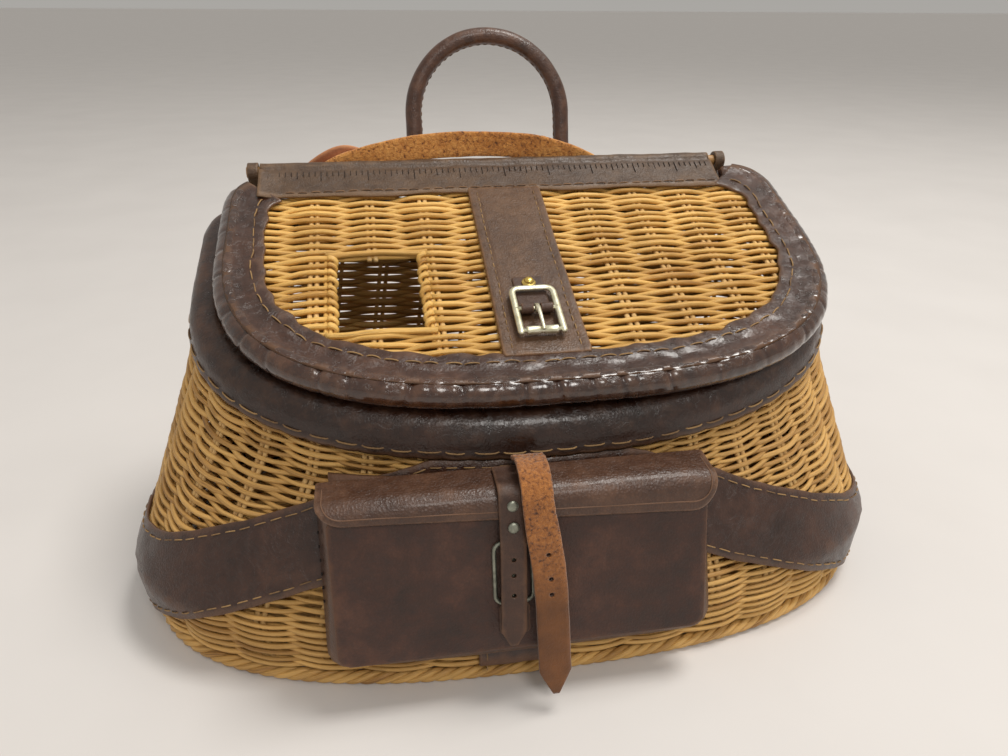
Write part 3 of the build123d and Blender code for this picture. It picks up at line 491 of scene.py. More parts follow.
def leather_material(name, base, dark, light, worn, rough=0.4, grain=950.0, grain_depth=0.00025, crease=0.05,
                     gloss=0.0, cracks=0.0, wear=0.6):
    """Leather: pebbled grain, folds with painted shade along them, fine cracks, colour clouds, and worn edges."""
    base, dark, light, worn = ((c[0], c[1] * 0.88, c[2] * 0.74, 1.0) for c in (base, dark, light, worn))
    material, tree, shader = new_material(name, rough)
    space = place(tree)
    clouds = noise_of(tree, space, 28.0, 5.0, 0.6, 0.4)
    mottle = noise_of(tree, space, 160.0, 4.0, 0.6)
    fine = noise_of(tree, space, 1500.0, 3.0, 0.6)
    cell = make(tree, "ShaderNodeTexVoronoi", {"Vector": space, "Scale": grain, "Randomness": 0.9}).outputs["Distance"]
    fold = noise_of(tree, space, 85.0, 6.0, 0.62, 1.6)
    line = math_of(tree, "ABSOLUTE", math_of(tree, "SUBTRACT", fold, 0.5))
    line = ramp(tree, line, [(0.0, (0, 0, 0, 1)), (0.028, (1, 1, 1, 1))])
    tone = math_of(tree, "ADD", math_of(tree, "MULTIPLY", clouds, 0.62), math_of(tree, "MULTIPLY", mottle, 0.38))
    colour = ramp(tree, tone, [(0.34, dark), (0.5, base), (0.66, light)])
    # painted shade: the fold lines are darkened in the colour, as if shade lay in the creases; crease sets how dark
    shade = mix_of(tree, crease, (1, 1, 1, 1), line)
    colour = mix_of(tree, 1.0, colour, shade, "MULTIPLY")
    pit = ramp(tree, cell, [(0.0, (1, 1, 1, 1)), (0.75, (0.72, 0.72, 0.72, 1))])
    colour = mix_of(tree, 0.8, colour, pit, "MULTIPLY")
    if cracks:
        crack_space = place(tree, (1.0, 2.4, 1.0))
        net = make(tree, "ShaderNodeTexVoronoi", {"Vector": crack_space, "Scale": 260.0, "Randomness": 1.0},
                   feature="DISTANCE_TO_EDGE").outputs["Distance"]
        open_crack = ramp(tree, net, [(0.0, (0.42, 0.40, 0.38, 1)), (0.05, (1, 1, 1, 1))])
        where = ramp(tree, clouds, [(0.42, (0, 0, 0, 1)), (0.62, (cracks, cracks, cracks, 1))])
        colour = mix_of(tree, where, colour, mix_of(tree, 1.0, colour, open_crack, "MULTIPLY"))
    pointed = make(tree, "ShaderNodeNewGeometry").outputs["Pointiness"]
    edge = ramp(tree, math_of(tree, "ADD", pointed, math_of(tree, "MULTIPLY", math_of(tree, "SUBTRACT", mottle, 0.5), 0.06)),
                [(0.515, (0, 0, 0, 1)), (0.57, (wear, wear, wear, 1))])
    colour = mix_of(tree, edge, colour, worn)
    tree.links.new(colour, shader.inputs["Base Color"])
    low = math_of(tree, "ADD", math_of(tree, "MULTIPLY", mottle, 0.45), rough - 0.2)
    low = math_of(tree, "ADD", low, math_of(tree, "MULTIPLY", edge, 0.2))
    tree.links.new(low, shader.inputs["Roughness"])
    if gloss:
        shader.inputs["Coat Weight"].default_value = gloss
        shader.inputs["Coat Roughness"].default_value = 0.12
    first = bump(tree, cell, 0.55, grain_depth)
    second = bump(tree, fine, 0.35, grain_depth * 0.6, first)
    third = bump(tree, line, 0.3, 0.0004, second)
    tree.links.new(bump(tree, mottle, 0.35, 0.0005, third), shader.inputs["Normal"])
    return material


def suede_material(name, base, dark, light, nap=420.0, depth=0.0012, smooth_below=None):
    """Rough split leather: matted nap with dark pits, smoother where smooth_below says so."""
    material, tree, shader = new_material(name, 0.85)
    space = place(tree)
    cloud = noise_of(tree, space, 45.0, 4.0, 0.6)
    matted = noise_of(tree, space, nap, 5.0, 0.65, 0.6)
    fibre = noise_of(tree, space, nap * 3.2, 3.0, 0.6)
    tone = math_of(tree, "ADD", math_of(tree, "MULTIPLY", cloud, 0.4), math_of(tree, "MULTIPLY", matted, 0.6))
    colour = ramp(tree, tone, [(0.34, dark), (0.47, base), (0.62, light)])
    pit = ramp(tree, matted, [(0.33, (0.32, 0.24, 0.17, 1)), (0.44, (1, 1, 1, 1))])
    strength = 1.0
    if smooth_below is not None:
        height = make(tree, "ShaderNodeSeparateXYZ", {0: make(tree, "ShaderNodeTexCoord").outputs["Object"]}).outputs[2]
        share = math_of(tree, "DIVIDE", math_of(tree, "SUBTRACT", height, smooth_below[0]), smooth_below[1] - smooth_below[0], True)
        plain = ramp(tree, cloud, [(0.3, tuple(c * 0.38 for c in base[:3]) + (1,)), (0.7, tuple(c * 0.85 for c in base[:3]) + (1,))])
        colour = mix_of(tree, share, plain, colour)
        pit = mix_of(tree, share, (1, 1, 1, 1), pit)
        matted = math_of(tree, "MULTIPLY", matted, math_of(tree, "ADD", math_of(tree, "MULTIPLY", share, 0.7), 0.3))
    colour = mix_of(tree, 0.9, colour, pit, "MULTIPLY")
    tree.links.new(colour, shader.inputs["Base Color"])
    shader.inputs["Sheen Weight"].default_value = 0.25
    shader.inputs["Sheen Roughness"].default_value = 0.5
    first = bump(tree, matted, 0.9, depth)
    tree.links.new(bump(tree, fibre, 0.6, depth * 0.3, first), shader.inputs["Normal"])
    return material


def metal_material(name, base, tarnish, rough=0.28, stain=0.5):
    """Old plate: fine scratches and cloudy tarnish."""
    material, tree, shader = new_material(name, rough)
    space = place(tree)
    cloud = noise_of(tree, space, 140.0, 5.0, 0.65, 0.5)
    scratch = noise_of(tree, place(tree, (1, 6, 1)), 700.0, 4.0, 0.6)
    colour = ramp(tree, cloud, [(0.5 - stain / 3, tarnish), (0.58, base)])
    tree.links.new(colour, shader.inputs["Base Color"])
    tree.links.new(math_of(tree, "ADD", math_of(tree, "MULTIPLY", scratch, 0.3), rough - 0.12), shader.inputs["Roughness"])
    shader.inputs["Metallic"].default_value = 0.9
    first = bump(tree, scratch, 0.25, 0.0001)
    tree.links.new(bump(tree, cloud, 0.35, 0.0003, first), shader.inputs["Normal"])
    return material


def thread_material(name, light, dark):
    material, tree, shader = new_material(name, 0.75)
    twist = noise_of(tree, place(tree), 900.0, 3.0, 0.6)
    tint = attribute(tree, "tint")
    tone = math_of(tree, "ADD", math_of(tree, "MULTIPLY", tint, 0.5), math_of(tree, "MULTIPLY", twist, 0.5))
    tree.links.new(ramp(tree, tone, [(0.3, dark), (0.62, light)]), shader.inputs["Base Color"])
    tree.links.new(bump(tree, twist, 0.6, 0.0002), shader.inputs["Normal"])
    return material


WICKER = wicker_material("willow_lid", srgb(226, 180, 98), srgb(200, 148, 68), srgb(138, 90, 36))
WICKER_SIDE = wicker_material("willow_body", srgb(208, 164, 94), srgb(178, 132, 68), srgb(112, 74, 34), 0.46)
CANE = wicker_material("willow_stake", srgb(222, 184, 122), srgb(196, 152, 92), srgb(140, 98, 50), 0.5)
DARK = leather_material("dark_brown_leather", srgb(58, 36, 27), srgb(42, 25, 18), srgb(76, 50, 38), srgb(112, 84, 64),
                        rough=0.34, gloss=0.15, crease=0.1)
GLOSSY = leather_material("glossy_roll_leather", srgb(58, 34, 23), srgb(40, 23, 15), srgb(80, 51, 36), srgb(116, 88, 66),
                          rough=0.18, grain=700, grain_depth=0.0001, gloss=0.7, crease=0.08)
FLANGE = leather_material("flange_leather", srgb(62, 38, 27), srgb(44, 26, 18), srgb(84, 56, 41), srgb(118, 90, 68),
                          rough=0.3, grain=800, grain_depth=0.00015, gloss=0.2, crease=0.08)
BINDING = leather_material("rim_binding_leather", srgb(47, 28, 20), srgb(34, 20, 14), srgb(64, 40, 29), srgb(104, 78, 58),
                           rough=0.3, grain=800, grain_depth=0.00015, gloss=0.15, crease=0.08)
POCKET = leather_material("pocket_leather", srgb(64, 39, 30), srgb(45, 27, 20), srgb(88, 58, 46), srgb(112, 82, 62),
                          rough=0.5, grain=900, grain_depth=0.0003, crease=0.03)
FLAP = leather_material("pebbled_flap_leather", srgb(78, 54, 41), srgb(62, 41, 31), srgb(98, 71, 55), srgb(128, 98, 76),
                        rough=0.38, grain=820, grain_depth=0.0004, crease=0.04, gloss=0.12)
FADED = leather_material("faded_hinge_leather", srgb(84, 65, 48), srgb(64, 47, 34), srgb(104, 83, 63), srgb(136, 112, 88),
                         rough=0.44, grain=1000, crease=0.15, cracks=0.3)
BANDED = leather_material("lid_band_leather", srgb(90, 66, 46), srgb(70, 49, 34), srgb(110, 84, 62), srgb(142, 112, 86),
                          rough=0.42, grain=1000, crease=0.12, cracks=0.2)
STRAP_DARK = leather_material("dark_strap_leather", srgb(72, 50, 40), srgb(54, 36, 28), srgb(92, 67, 54), srgb(120, 92, 72),
                              rough=0.5, grain=1200, grain_depth=0.00015, crease=0.05)
HANDLE = leather_material("handle_leather", srgb(70, 44, 33), srgb(50, 31, 23), srgb(92, 62, 48), srgb(122, 92, 72),
                          rough=0.36, grain=900, gloss=0.12, crease=0.05)
TAN = suede_material("tan_suede", srgb(142, 85, 33), srgb(94, 53, 20), srgb(178, 114, 52), nap=620, smooth_below=(0.050, 0.082))
SHOULDER = suede_material("shoulder_suede", srgb(190, 122, 52), srgb(132, 78, 28), srgb(222, 158, 82), nap=480, depth=0.0018)
SMOOTH_TAN = leather_material("smooth_tan_leather", srgb(166, 104, 68), srgb(140, 84, 52), srgb(186, 124, 84),
                              srgb(206, 156, 112), rough=0.5, grain=1300, grain_depth=0.0001, crease=0.05)
NICKEL = metal_material("old_nickel", srgb(236, 232, 208), srgb(196, 190, 156), rough=0.36)
DULL = metal_material("dull_plate", srgb(150, 152, 138), srgb(100, 100, 90), rough=0.38)
BRASS = metal_material("brass", srgb(232, 202, 112), srgb(176, 142, 70), rough=0.25)
IRON = metal_material("dark_iron", srgb(104, 102, 100), srgb(66, 60, 56), rough=0.45)
THREAD = thread_material("tan_thread", srgb(150, 118, 76), srgb(100, 74, 48))
THREAD_DARK = thread_material("brown_thread", srgb(128, 96, 66), srgb(84, 60, 42))

# ---------------------------------------------------------------- camera
# The camera stands where the picture was taken from, turned towards the right and down.
yaw, pitch, roll = 0.16986709, 0.45611156, -0.00557533
forward = Vector((math.sin(yaw) * math.cos(pitch), math.cos(yaw) * math.cos(pitch), -math.sin(pitch)))
right = Vector((math.cos(yaw), -math.sin(yaw), 0.0))
up = right.cross(forward)
turn = Matrix.Rotation(roll, 3, forward)
right, up = turn @ right, turn @ up
camera_data = bpy.data.cameras.new("camera")
camera_data.sensor_width, camera_data.lens = 36.0, 764.66287 / 1008 * 36.0
camera_data.clip_start, camera_data.clip_end = 0.01, 30.0
camera = bpy.data.objects.new("camera", camera_data)
bpy.context.scene.collection.objects.link(camera)
camera.matrix_world = Matrix.Translation((-0.0651117, -0.3536551, 0.2757808)) @ Matrix(
    (right, up, -forward)).transposed().to_4x4()
bpy.context.scene.camera = camera

# ---------------------------------------------------------------- woven body
STAKES = 34
BODY_ROWS = 62


def mid_ring(turn):
    return wall_xyz(turn, np.full_like(turn, 60.0), -3.0)


per_bay = 8
turns, around = even_turns(mid_ring, STAKES * per_bay)
bay = around / STAKES
low_z = np.full_like(turns, 7.0)
high_z = rim_xyz(turns, BINDING_LOW + 5.0, 0)[:, 2]
phase = np.arange(STAKES * per_bay) / per_bay - 0.5
weaves = [Parts(), Parts()]
for row in range(BODY_ROWS):
    body = weaves[row >= BODY_ROWS // 2]
    share = (row + 0.5) / BODY_ROWS
    z = low_z + (high_z - low_z) * share
    pitch_here = (high_z - low_z) / BODY_ROWS
    z = z + wave(turns * 160, 100 + row, 0.3)
    swing = np.cos(np.pi * phase + np.pi * row)
    swing = np.sign(swing) * np.abs(swing) ** 0.85
    reach = 2.05 + 0.2 * wave(turns * 160, 300 + row)
    p = wall_xyz(turns, z, -3.0 + reach * swing)
    n = wall_normal(turns, z)
    size = np.clip(0.68 * pitch_here, 1.12, 1.5) * (1 + 0.1 * rng.standard_normal())
    # each row is tinted in spans of random length, as if made of several rods
    tint = np.empty(len(turns))
    cut = int(rng.integers(0, len(turns)))
    where = 0
    while where < len(turns):
        span = int(rng.integers(60, 130))
        tint[(np.arange(where, min(where + span, len(turns))) + cut) % len(turns)] = rng.uniform(0.25, 0.95)
        where += span
    body.rod(p, n, size, size * 0.94, tint=tint, closed=True, sides=6, offset=row * 0.37)
for name, part in zip(("body_weave_lower", "body_weave_upper"), weaves):
    finish_piece(part.build(name), WICKER_SIDE, "creel", ("basket_shell",))

# the stakes that the rods pass round, in pairs from the bottom up to the rim
stakes = Parts()
for k in range(STAKES):
    at = np.interp((k + 0.5) * per_bay, np.arange(len(turns)), turns)
    top = rim_xyz(at, BINDING_LOW + 6.0, 0)[2]
    z = np.linspace(5.0, top, 14)
    for flank in (-1, 1):
        shift = flank * 1.75 / 180 * (1 + 0 * z)
        p = wall_xyz(at + shift, z, -3.0)
        n = wall_normal(at + shift, z)
        stakes.rod(p, n, 1.3, 1.15, tint=rng.uniform(0.45, 0.95), sides=6, offset=k * 0.71 + flank)
finish_piece(stakes.build("wall_stakes"), CANE, "creel", ("basket_stakes",))

# twisted border round the bottom
count = 620
ring_turns, ring_length = even_turns(
    lambda t: np.stack([*ring_xy(t, FOOT + 10.2, -92.3 - 10.2, 91.3 + 10.2, 0.0, (2.6, 4.0), 6.0), 0 * t], -1), count)
x, y = ring_xy(ring_turns, FOOT + 10.2, -102.5, 101.5, 0.0, (2.6, 4.0), 6.0)
core = np.stack([x, y, np.full_like(x, 3.35)], -1)
tangent = unit(np.roll(core, -1, 0) - np.roll(core, 1, 0))
outward = np.cross(tangent, [0, 0, 1.0])
s = np.arange(count) * ring_length / count
border = Parts()
twists = round(ring_length / 27)
for strand in range(4):
    angle = 2 * np.pi * (strand / 4 + twists * s / ring_length)
    p = core + 1.72 * (outward * np.cos(angle)[:, None] + np.array([0, 0, 1.0]) * np.sin(angle)[:, None])
    border.rod(p, outward, 1.55, 1.55, tint=rng.uniform(0.3, 0.9) + 0.1 * wave(s, 40 + strand), closed=True, sides=7,
               offset=strand * 1.3)
finish_piece(border.build("bottom_border_rope"), WICKER_SIDE, "creel", ("bottom_border",))


def crossings(poly, v):
    """Lowest and highest x of a closed outline at v."""
    a, b = poly, np.roll(poly, -1, 0)
    hit = (a[:, 1] - v) * (b[:, 1] - v) < 0
    if not hit.any():
        return None
    a, b = a[hit], b[hit]
    x = a[:, 0] + (b[:, 0] - a[:, 0]) * (v - a[:, 1]) / (b[:, 1] - a[:, 1])
    return x.min(), x.max()


# woven bottom, set a little above the table
bottom = Parts()
fine_turns = np.linspace(0, 2 * np.pi, 1600, endpoint=False)
foot = np.stack(ring_xy(fine_turns, FOOT + 2.7, -95.0, 94.0, 0.0, (2.6, 4.0), 6.0), -1)
rows = np.arange(-93, 92, 3.7)
for k, v in enumerate(rows):
    ends = crossings(foot, v)
    if ends is None or ends[1] - ends[0] < 30:
        continue
    x = np.arange(ends[0] + 0.5, ends[1] - 0.5, 5.0)
    swing = np.cos(np.pi * x / 31 + np.pi * k)
    p = np.stack([x, v + wave(x, 500 + k, 0.25), 4.6 + 1.5 * np.sign(swing) * np.abs(swing) ** 0.9], -1)
    bottom.rod(p, np.broadcast_to([0, 0, 1.0], p.shape), 2.25, 1.5, tint=rng.uniform(0.2, 0.9), sides=6, offset=k * 0.53)
for k in range(-6, 6):
    x0 = 31 * (k + 0.5)
    ends = crossings(foot[:, ::-1], x0)
    if ends is None:
        continue
    for flank in (-1, 1):
        y = np.linspace(ends[0] + 2, ends[1] - 2, 16)
        p = np.stack([np.full_like(y, x0 + flank * 1.9), y, np.full_like(y, 4.6)], -1)
        bottom.rod(p, np.broadcast_to([0, 0, 1.0], p.shape), 1.6, 1.4, tint=rng.uniform(0.3, 0.9), sides=6, offset=k)
finish_piece(bottom.build("bottom_weave"), WICKER_SIDE, "creel")

# ---------------------------------------------------------------- woven lid
LID_COLUMN, LID_FIRST, LID_MID = 28.4, 17.0, -2.1
HOLE_X, HOLE_V, HOLE_W, HOLE_D = -71.5, -105.5, 41.0, 55.0


def lid_swing(x, row):
    """Over and under the stake pairs: the pairs stand at 17 mm and then each 28.4 mm from the middle."""
    place_ = np.where(np.abs(x) < LID_FIRST, x / (2 * LID_FIRST), np.sign(x) * (0.5 + (np.abs(x) - LID_FIRST) / LID_COLUMN))
    swing = np.cos(np.pi * (place_ - 0.5) + np.pi * row)
    return np.sign(swing) * np.abs(swing) ** 0.85


lid_poly = np.stack(lid_ring(fine_turns, 18.0), -1)
lid = Parts()
lid_normal = np.array([0, -SN, CS])
PITCH = 2.72
lid_rows = np.arange(-13.0, -160.5, -PITCH)
hole_left, hole_right = HOLE_X - HOLE_W / 2, HOLE_X + HOLE_W / 2
turned = {"left": [], "right": []}
for k, v in enumerate(lid_rows):
    ends = crossings(lid_poly, v)
    if ends is None or ends[1] - ends[0] < 40:
        continue
    low, high = ends[0] + rng.uniform(-3.5, 2.0), ends[1] + rng.uniform(-2.0, 3.5)
    spans = [(low, high)]
    if abs(v - HOLE_V) < HOLE_D / 2 + 0.5:
        spans = [(low, hole_left - 3.6), (hole_right + 3.6, high)]
    tone = rng.uniform(0.25, 0.98)
    size = 1.4 * (1 + 0.1 * rng.standard_normal())
    v = v + 0.28 * rng.standard_normal()
    for piece, (a, b) in enumerate(spans):
        x = np.linspace(a, b, max(6, int((b - a) / 3.6)))
        drift = 0.9 * np.sin((x + 40) / 95 * 1.3 + 0.2) + wave(x, 700 + k, 0.55)
        w = LID_MID + (1.75 + 0.12 * rng.standard_normal()) * lid_swing(x, k)
        if len(spans) == 2:
            edge = hole_left - 3.6 if piece == 0 else hole_right + 3.6
            drift = drift * np.clip(np.abs(x - edge) / 12, 0, 1)
            turned["left" if piece == 0 else "right"].append((k, v, w[-1] if piece == 0 else w[0], tone, size))
        p = lid_xyz(x, v + drift, w)
        lid.rod(p, np.broadcast_to(lid_normal, p.shape), size * 0.98, size * 0.95,
                tint=tone if piece == 0 else rng.uniform(0.3, 0.98), sides=6, offset=k * 0.41 + piece * 3)
# at the hole each pair of rows turns back round the side rods
for side, flank in (("left", 1), ("right", -1)):
    rows_here = turned[side]
    edge = hole_left - 3.6 if side == "left" else hole_right + 3.6
    for (k, v, w0, tone, size), (k2, v2, w2, _, _) in zip(rows_here[::2], rows_here[1::2]):
        t = np.linspace(0, np.pi, 10)
        bulge = 3.9 + rng.uniform(-0.4, 0.4)
        x = edge + flank * bulge * np.sin(t)
        w = (w0 + w2) / 2 + (w0 - w2) / 2 * np.cos(t) + 0.0
        w = LID_MID + np.sign(w0 - LID_MID) * 2.35 * np.cos(t)
        w[0], w[-1] = w0, w2
        vv = v + (v2 - v) * (1 - np.cos(t)) / 2
        p = lid_xyz(x, vv, w)
        out = unit(np.stack([flank * np.sin(t), 0 * t, np.sign(w0 - LID_MID) * np.cos(t)], -1))
        n = out[:, :1] * np.array([1.0, 0, 0]) + out[:, 2:] * lid_normal
        lid.rod(p, n, size * 1.18, size * 0.85, tint=tone, sides=6, offset=k * 0.41)
finish_piece(lid.build("lid_weave_rods"), WICKER, "lid", ("lid_weave",))

# the lid's stakes, cut off at the hole
lid_stakes = Parts()
for place_ in range(5):
    for flank in (-1, 1):
        for side in (-0.5, 0.5):
            x0 = flank * (LID_FIRST + place_ * LID_COLUMN) + side * 3.1
            turned_poly = lid_poly[:, ::-1]
            span = crossings(turned_poly, x0)
            if span is None:
                continue
            low, high = span[0] + 1.0, min(span[1] - 1.0, -12.0)
            runs = [(low, high)]
            if hole_left - 1 < x0 < hole_right + 1:
                runs = [(low, HOLE_V - HOLE_D / 2 + rng.uniform(-1.0, 0.6)), (HOLE_V + HOLE_D / 2 - rng.uniform(0.5, 3.2), high)]
            for a, b in runs:
                v = np.linspace(a, b, max(5, int((b - a) / 9)))
                p = lid_xyz(x0 + wave(v, int(900 + x0), 0.25), v, LID_MID)
                lid_stakes.rod(p, np.broadcast_to(lid_normal, p.shape), 1.3, 1.15, tint=rng.uniform(0.5, 1.0), sides=6,
                               offset=x0)
finish_piece(lid_stakes.build("lid_stake_rods"), CANE, "lid", ("lid_stakes",))

# rods round the fish hole
hole = Parts()
for side, x0 in ((-1, hole_left - 3.4), (1, hole_right + 3.4)):
    for shift in (-1.1, 1.1):
        v = np.linspace(HOLE_V - HOLE_D / 2 - 7, HOLE_V + HOLE_D / 2 + 7, 14)
        p = lid_xyz(x0 + shift * 0.9, v, LID_MID)
        hole.rod(p, np.broadcast_to(lid_normal, p.shape), 1.2, 1.2, tint=0.6, sides=6, offset=shift)
for v0, width in ((HOLE_V - HOLE_D / 2 - 1.2, 50), (HOLE_V + HOLE_D / 2 + 1.0, 50)):
    for shift, w in ((0.0, 0.6), (0.5, -2.4)):
        x = np.linspace(HOLE_X - width / 2, HOLE_X + width / 2, 18)
        p = lid_xyz(x, v0 + shift + wave(x, int(50 + v0 + w), 0.35), w - 0.3 + 0.35 * np.sin(x / 6.5))
        hole.rod(p, np.broadcast_to(lid_normal, p.shape), 1.5, 1.45, tint=rng.uniform(0.4, 0.9), sides=7, offset=v0)
finish_piece(hole.build("fish_hole_rods"), WICKER, "lid", ("fish_hole_frame",))

# ---------------------------------------------------------------- rim binding
count = 560
ring_turns, ring_length = even_turns(lambda t: rim_xyz(t, np.full_like(t, -19.0), 2.8), count)
s = np.arange(count) * ring_length / count
PITCH_RIM = ring_length / round(ring_length / 12.0)
pull = np.abs(np.sin(np.pi * s / PITCH_RIM)) ** 0.6
profile = [(-26.3, 2.0), (-26.6, 2.7), (-25.6, 3.1), (-23.6, 3.05), (-22.2, 3.2), (-19.5, 3.7), (-16.5, 3.6), (-14.2, 2.9),
           (-12.9, 1.7), (-12.25, 0.0), (-12.1, -3.0), (-12.3, -6.0), (-13.2, -8.0), (-15.0, -8.9), (-19.5, -9.1),
           (-24.5, -8.9), (-26.3, -8.6), (-26.0, -7.0), (-24.0, -5.6), (-24.0, -0.6), (-25.8, 0.8)]
rings = []
for index, (level, grow) in enumerate(profile):
    lift = 0
    drop = 0
    if index in (0, 1, 2):
        drop = -0.55 * (pull - 0.6)
    if index == 4:
        lift = -0.3 * (1 - pull)
    if index in (5, 6, 7):
        lift = 0.3 * wave(s, 60 + index) + 0.15
    rings.append(rim_xyz(ring_turns, level + drop + 0.12 * wave(s, 80 + index), grow + lift))
binding = Parts()
binding.grid(np.stack(rings, 1), wrap_u=True, wrap_v=True)
finish_piece(binding.build("rim_binding_leather"), BINDING, "creel", ("rim_binding", "rim_lining"))
seam = Parts()
seam_points = rim_xyz(ring_turns, -23.9 + 0.25 * wave(s, 91), 3.15)
seam_normals = unit(rim_xyz(ring_turns, -23.9, 4.0) - rim_xyz(ring_turns, -23.9, 3.0))
stitches(seam, seam_points, seam_normals, 12.0, share=0.93, radius=0.42, sink=0.5, seed=5, closed=True)
finish_piece(seam.build("rim_stitching"), THREAD, "creel")

# ---------------------------------------------------------------- leather bands round the wall
def band_middle(x):
    share = np.minimum(np.abs(x - POCKET_X) / 195, 1)
    return 22 + 64 * np.cos(np.pi / 2 * share) ** 1.3


count = 420
band_turns, band_length = even_turns(lambda t: wall_xyz(t, np.full_like(t, 40.0), 1.4), count)
s = np.arange(count) * band_length / count
middle = np.where(np.sin(band_turns) < 0, band_middle(WALL_ROWS[2][1] * np.cos(band_turns)), 22.0)
edge_z = rim_xyz(band_turns, BINDING_LOW, 2.3)[:, 2]
low = np.maximum(middle - 19, 7.2) + 0.5 * wave(s, 21)
high = np.minimum(middle + 19, edge_z - 1.0) + 0.5 * wave(s, 22)
high = np.minimum(high, edge_z - 0.6)
across = 13
rings = []
for k in range(across):
    share = k / (across - 1)
    z = low + (high - low) * share
    puff = 0.55 * math.sin(math.pi * share) ** 0.5 + 0.0
    dent = -0.35 * math.exp(-((share - 0.09) / 0.03) ** 2) - 0.35 * math.exp(-((share - 0.91) / 0.03) ** 2)
    rings.append(wall_xyz(band_turns, z, 2.0 + puff + dent + 0.3 * wave(s + 30 * share, 31 + k // 3)))
rings.append(wall_xyz(band_turns, high + 0.25, 1.5))
rings.append(wall_xyz(band_turns, high, 0.6))
rings.append(wall_xyz(band_turns, (low + high) / 2, 0.4))
rings.append(wall_xyz(band_turns, low, 0.6))
rings.append(wall_xyz(band_turns, low - 0.25, 1.5))
band = Parts()
band.grid(np.stack(rings, 1), wrap_u=True, wrap_v=True)
finish_piece(band.build("belly_band_leather"), DARK, "creel", ("belly_band",))
band_seams = Parts()
for share, seed in ((0.085, 11), (0.915, 12)):
    z = low + (high - low) * share
    stitches(band_seams, wall_xyz(band_turns, z, 2.15), wall_normal(band_turns, z), 7.5, share=0.8, radius=0.33, seed=seed,
             closed=True)
finish_piece(band_seams.build("belly_band_stitching"), THREAD, "creel")


def front_y(x, z, grow):
    """Front of the wall at x, at one height."""
    t = np.linspace(np.pi * 1.02, np.pi * 1.98, 500)
    p = wall_xyz(t, np.full_like(t, z), grow)
    return np.interp(x, p[:, 0], p[:, 1])


def wall_patch(name, x_low, x_high, z_low, z_high, inner, outer, seed, columns=24, rows_=12):
    """Leather lying on the front of the wall."""
    out = np.empty((rows_, columns, 3))
    for r_, z in enumerate(np.linspace(z_low, z_high, rows_)):
        x = np.linspace(x_low, x_high, columns)
        out[r_] = np.stack([x, front_y(x, z, outer), np.full_like(x, z)], -1)
    back = out + np.array([0, outer - inner, 0])
    out[1:-1, 1:-1, 1] -= 0.25 + 0.2 * np.array([[wave(np.array([q]), seed + i)[0] for q in range(0, 3 * (columns - 2), 3)]
                                                for i in range(rows_ - 2)])
    edge = [out[0], *out[1:], *back[::-1]]
    own = Parts()
    own.grid(np.stack(edge[1:], 0), wrap_u=True, wrap_v=False)
    obj = own.build(name)
    mesh = bmesh.new()
    mesh.from_mesh(obj.data)
    bmesh.ops.holes_fill(mesh, edges=[e for e in mesh.edges if e.is_boundary], sides=0)
    bmesh.ops.recalc_face_normals(mesh, faces=mesh.faces)
    mesh.to_mesh(obj.data)
    mesh.free()
    return obj


finish_piece(wall_patch("front_band_leather", -33, 3, 7.2, 62, 0.3, 2.6, 41), DARK, "creel", ("front_band",))
finish_piece(wall_patch("pocket_back_leather", POCKET_X - 80, POCKET_X + 80, POCKET_Z + 0.5, 92.0, 2.6, 4.4, 42, 40, 16), POCKET,
             "creel", ("pocket_back",))
front_seam = Parts()
for x0, seed in ((-29.6, 3), (-0.4, 4)):
    z = np.linspace(8.5, 26, 12)
    p = np.array([[x0, front_y(x0, zz, 2.75), zz] for zz in z])
    stitches(front_seam, p, np.broadcast_to([0, -1.0, 0], p.shape), 6.0, share=0.75, radius=0.33, seed=seed)
finish_piece(front_seam.build("front_band_stitching"), THREAD, "creel")


# ---------------------------------------------------------------- pocket
def rounded_panel(name, half, low, high, corner, place_of, thick, columns=34, rows_=18, puff=0.0, edge=0.55, seed=1,
                  top_corner=None):
    """A leather panel on a grid whose outline has rounded corners. place_of(u, up, out) puts it in space."""
    top_corner = corner if top_corner is None else top_corner
    ups = np.linspace(low, high, rows_)
    ups = low + (high - low) * (0.5 - 0.5 * np.cos(np.pi * (ups - low) / (high - low))) * 0.35 + (ups - low) * 0.65
    sheet = np.empty((rows_, columns, 2))
    for r_, q in enumerate(ups):
        cut = 0.0
        if q < low + corner:
            cut = corner - math.sqrt(max(corner ** 2 - (low + corner - q) ** 2, 0))
        if q > high - top_corner:
            cut = top_corner - math.sqrt(max(top_corner ** 2 - (q - high + top_corner) ** 2, 0))
        e = np.linspace(-1, 1, columns)
        e = e * 0.75 + 0.25 * np.sin(e * np.pi / 2)
        sheet[r_] = np.stack([e * (half - cut), np.full(columns, q)], -1)
    u, v = sheet[..., 0], sheet[..., 1]
    inner_u, inner_v = u * (1 - edge / half), low + edge + (v - low) * (1 - 2 * edge / (high - low))
    swell = puff * (1 - (u / half) ** 4) * (1 - ((2 * v - low - high) / (high - low)) ** 4)
    bumpy = 0.22 * np.vectorize(lambda a, b: noise.noise(Vector((a / 14 + seed, b / 14, seed))))(u, v)
    front = place_of(inner_u, inner_v, 0 + swell + bumpy)
    rim_front = place_of(u, v, -edge * 0.6)
    rim_back = place_of(u, v, -thick + edge * 0.4)
    back = place_of(inner_u, inner_v, -thick + swell * 0.8)
    own = Parts()

    def loop(grid):
        return np.concatenate([grid[0, :], grid[1:, -1], grid[-1, -2::-1], grid[-2:0:-1, 0]])

    own.grid(front, wrap_v=False)
    own.grid(back, wrap_v=False)
    own.grid(np.stack([loop(front), loop(rim_front), loop(rim_back), loop(back)]), wrap_v=True)
    obj = own.build(name)
    mesh = bmesh.new()
    mesh.from_mesh(obj.data)
    bmesh.ops.remove_doubles(mesh, verts=mesh.verts, dist=0.00002)
    bmesh.ops.recalc_face_normals(mesh, faces=mesh.faces)
    mesh.to_mesh(obj.data)
    mesh.free()
    return obj


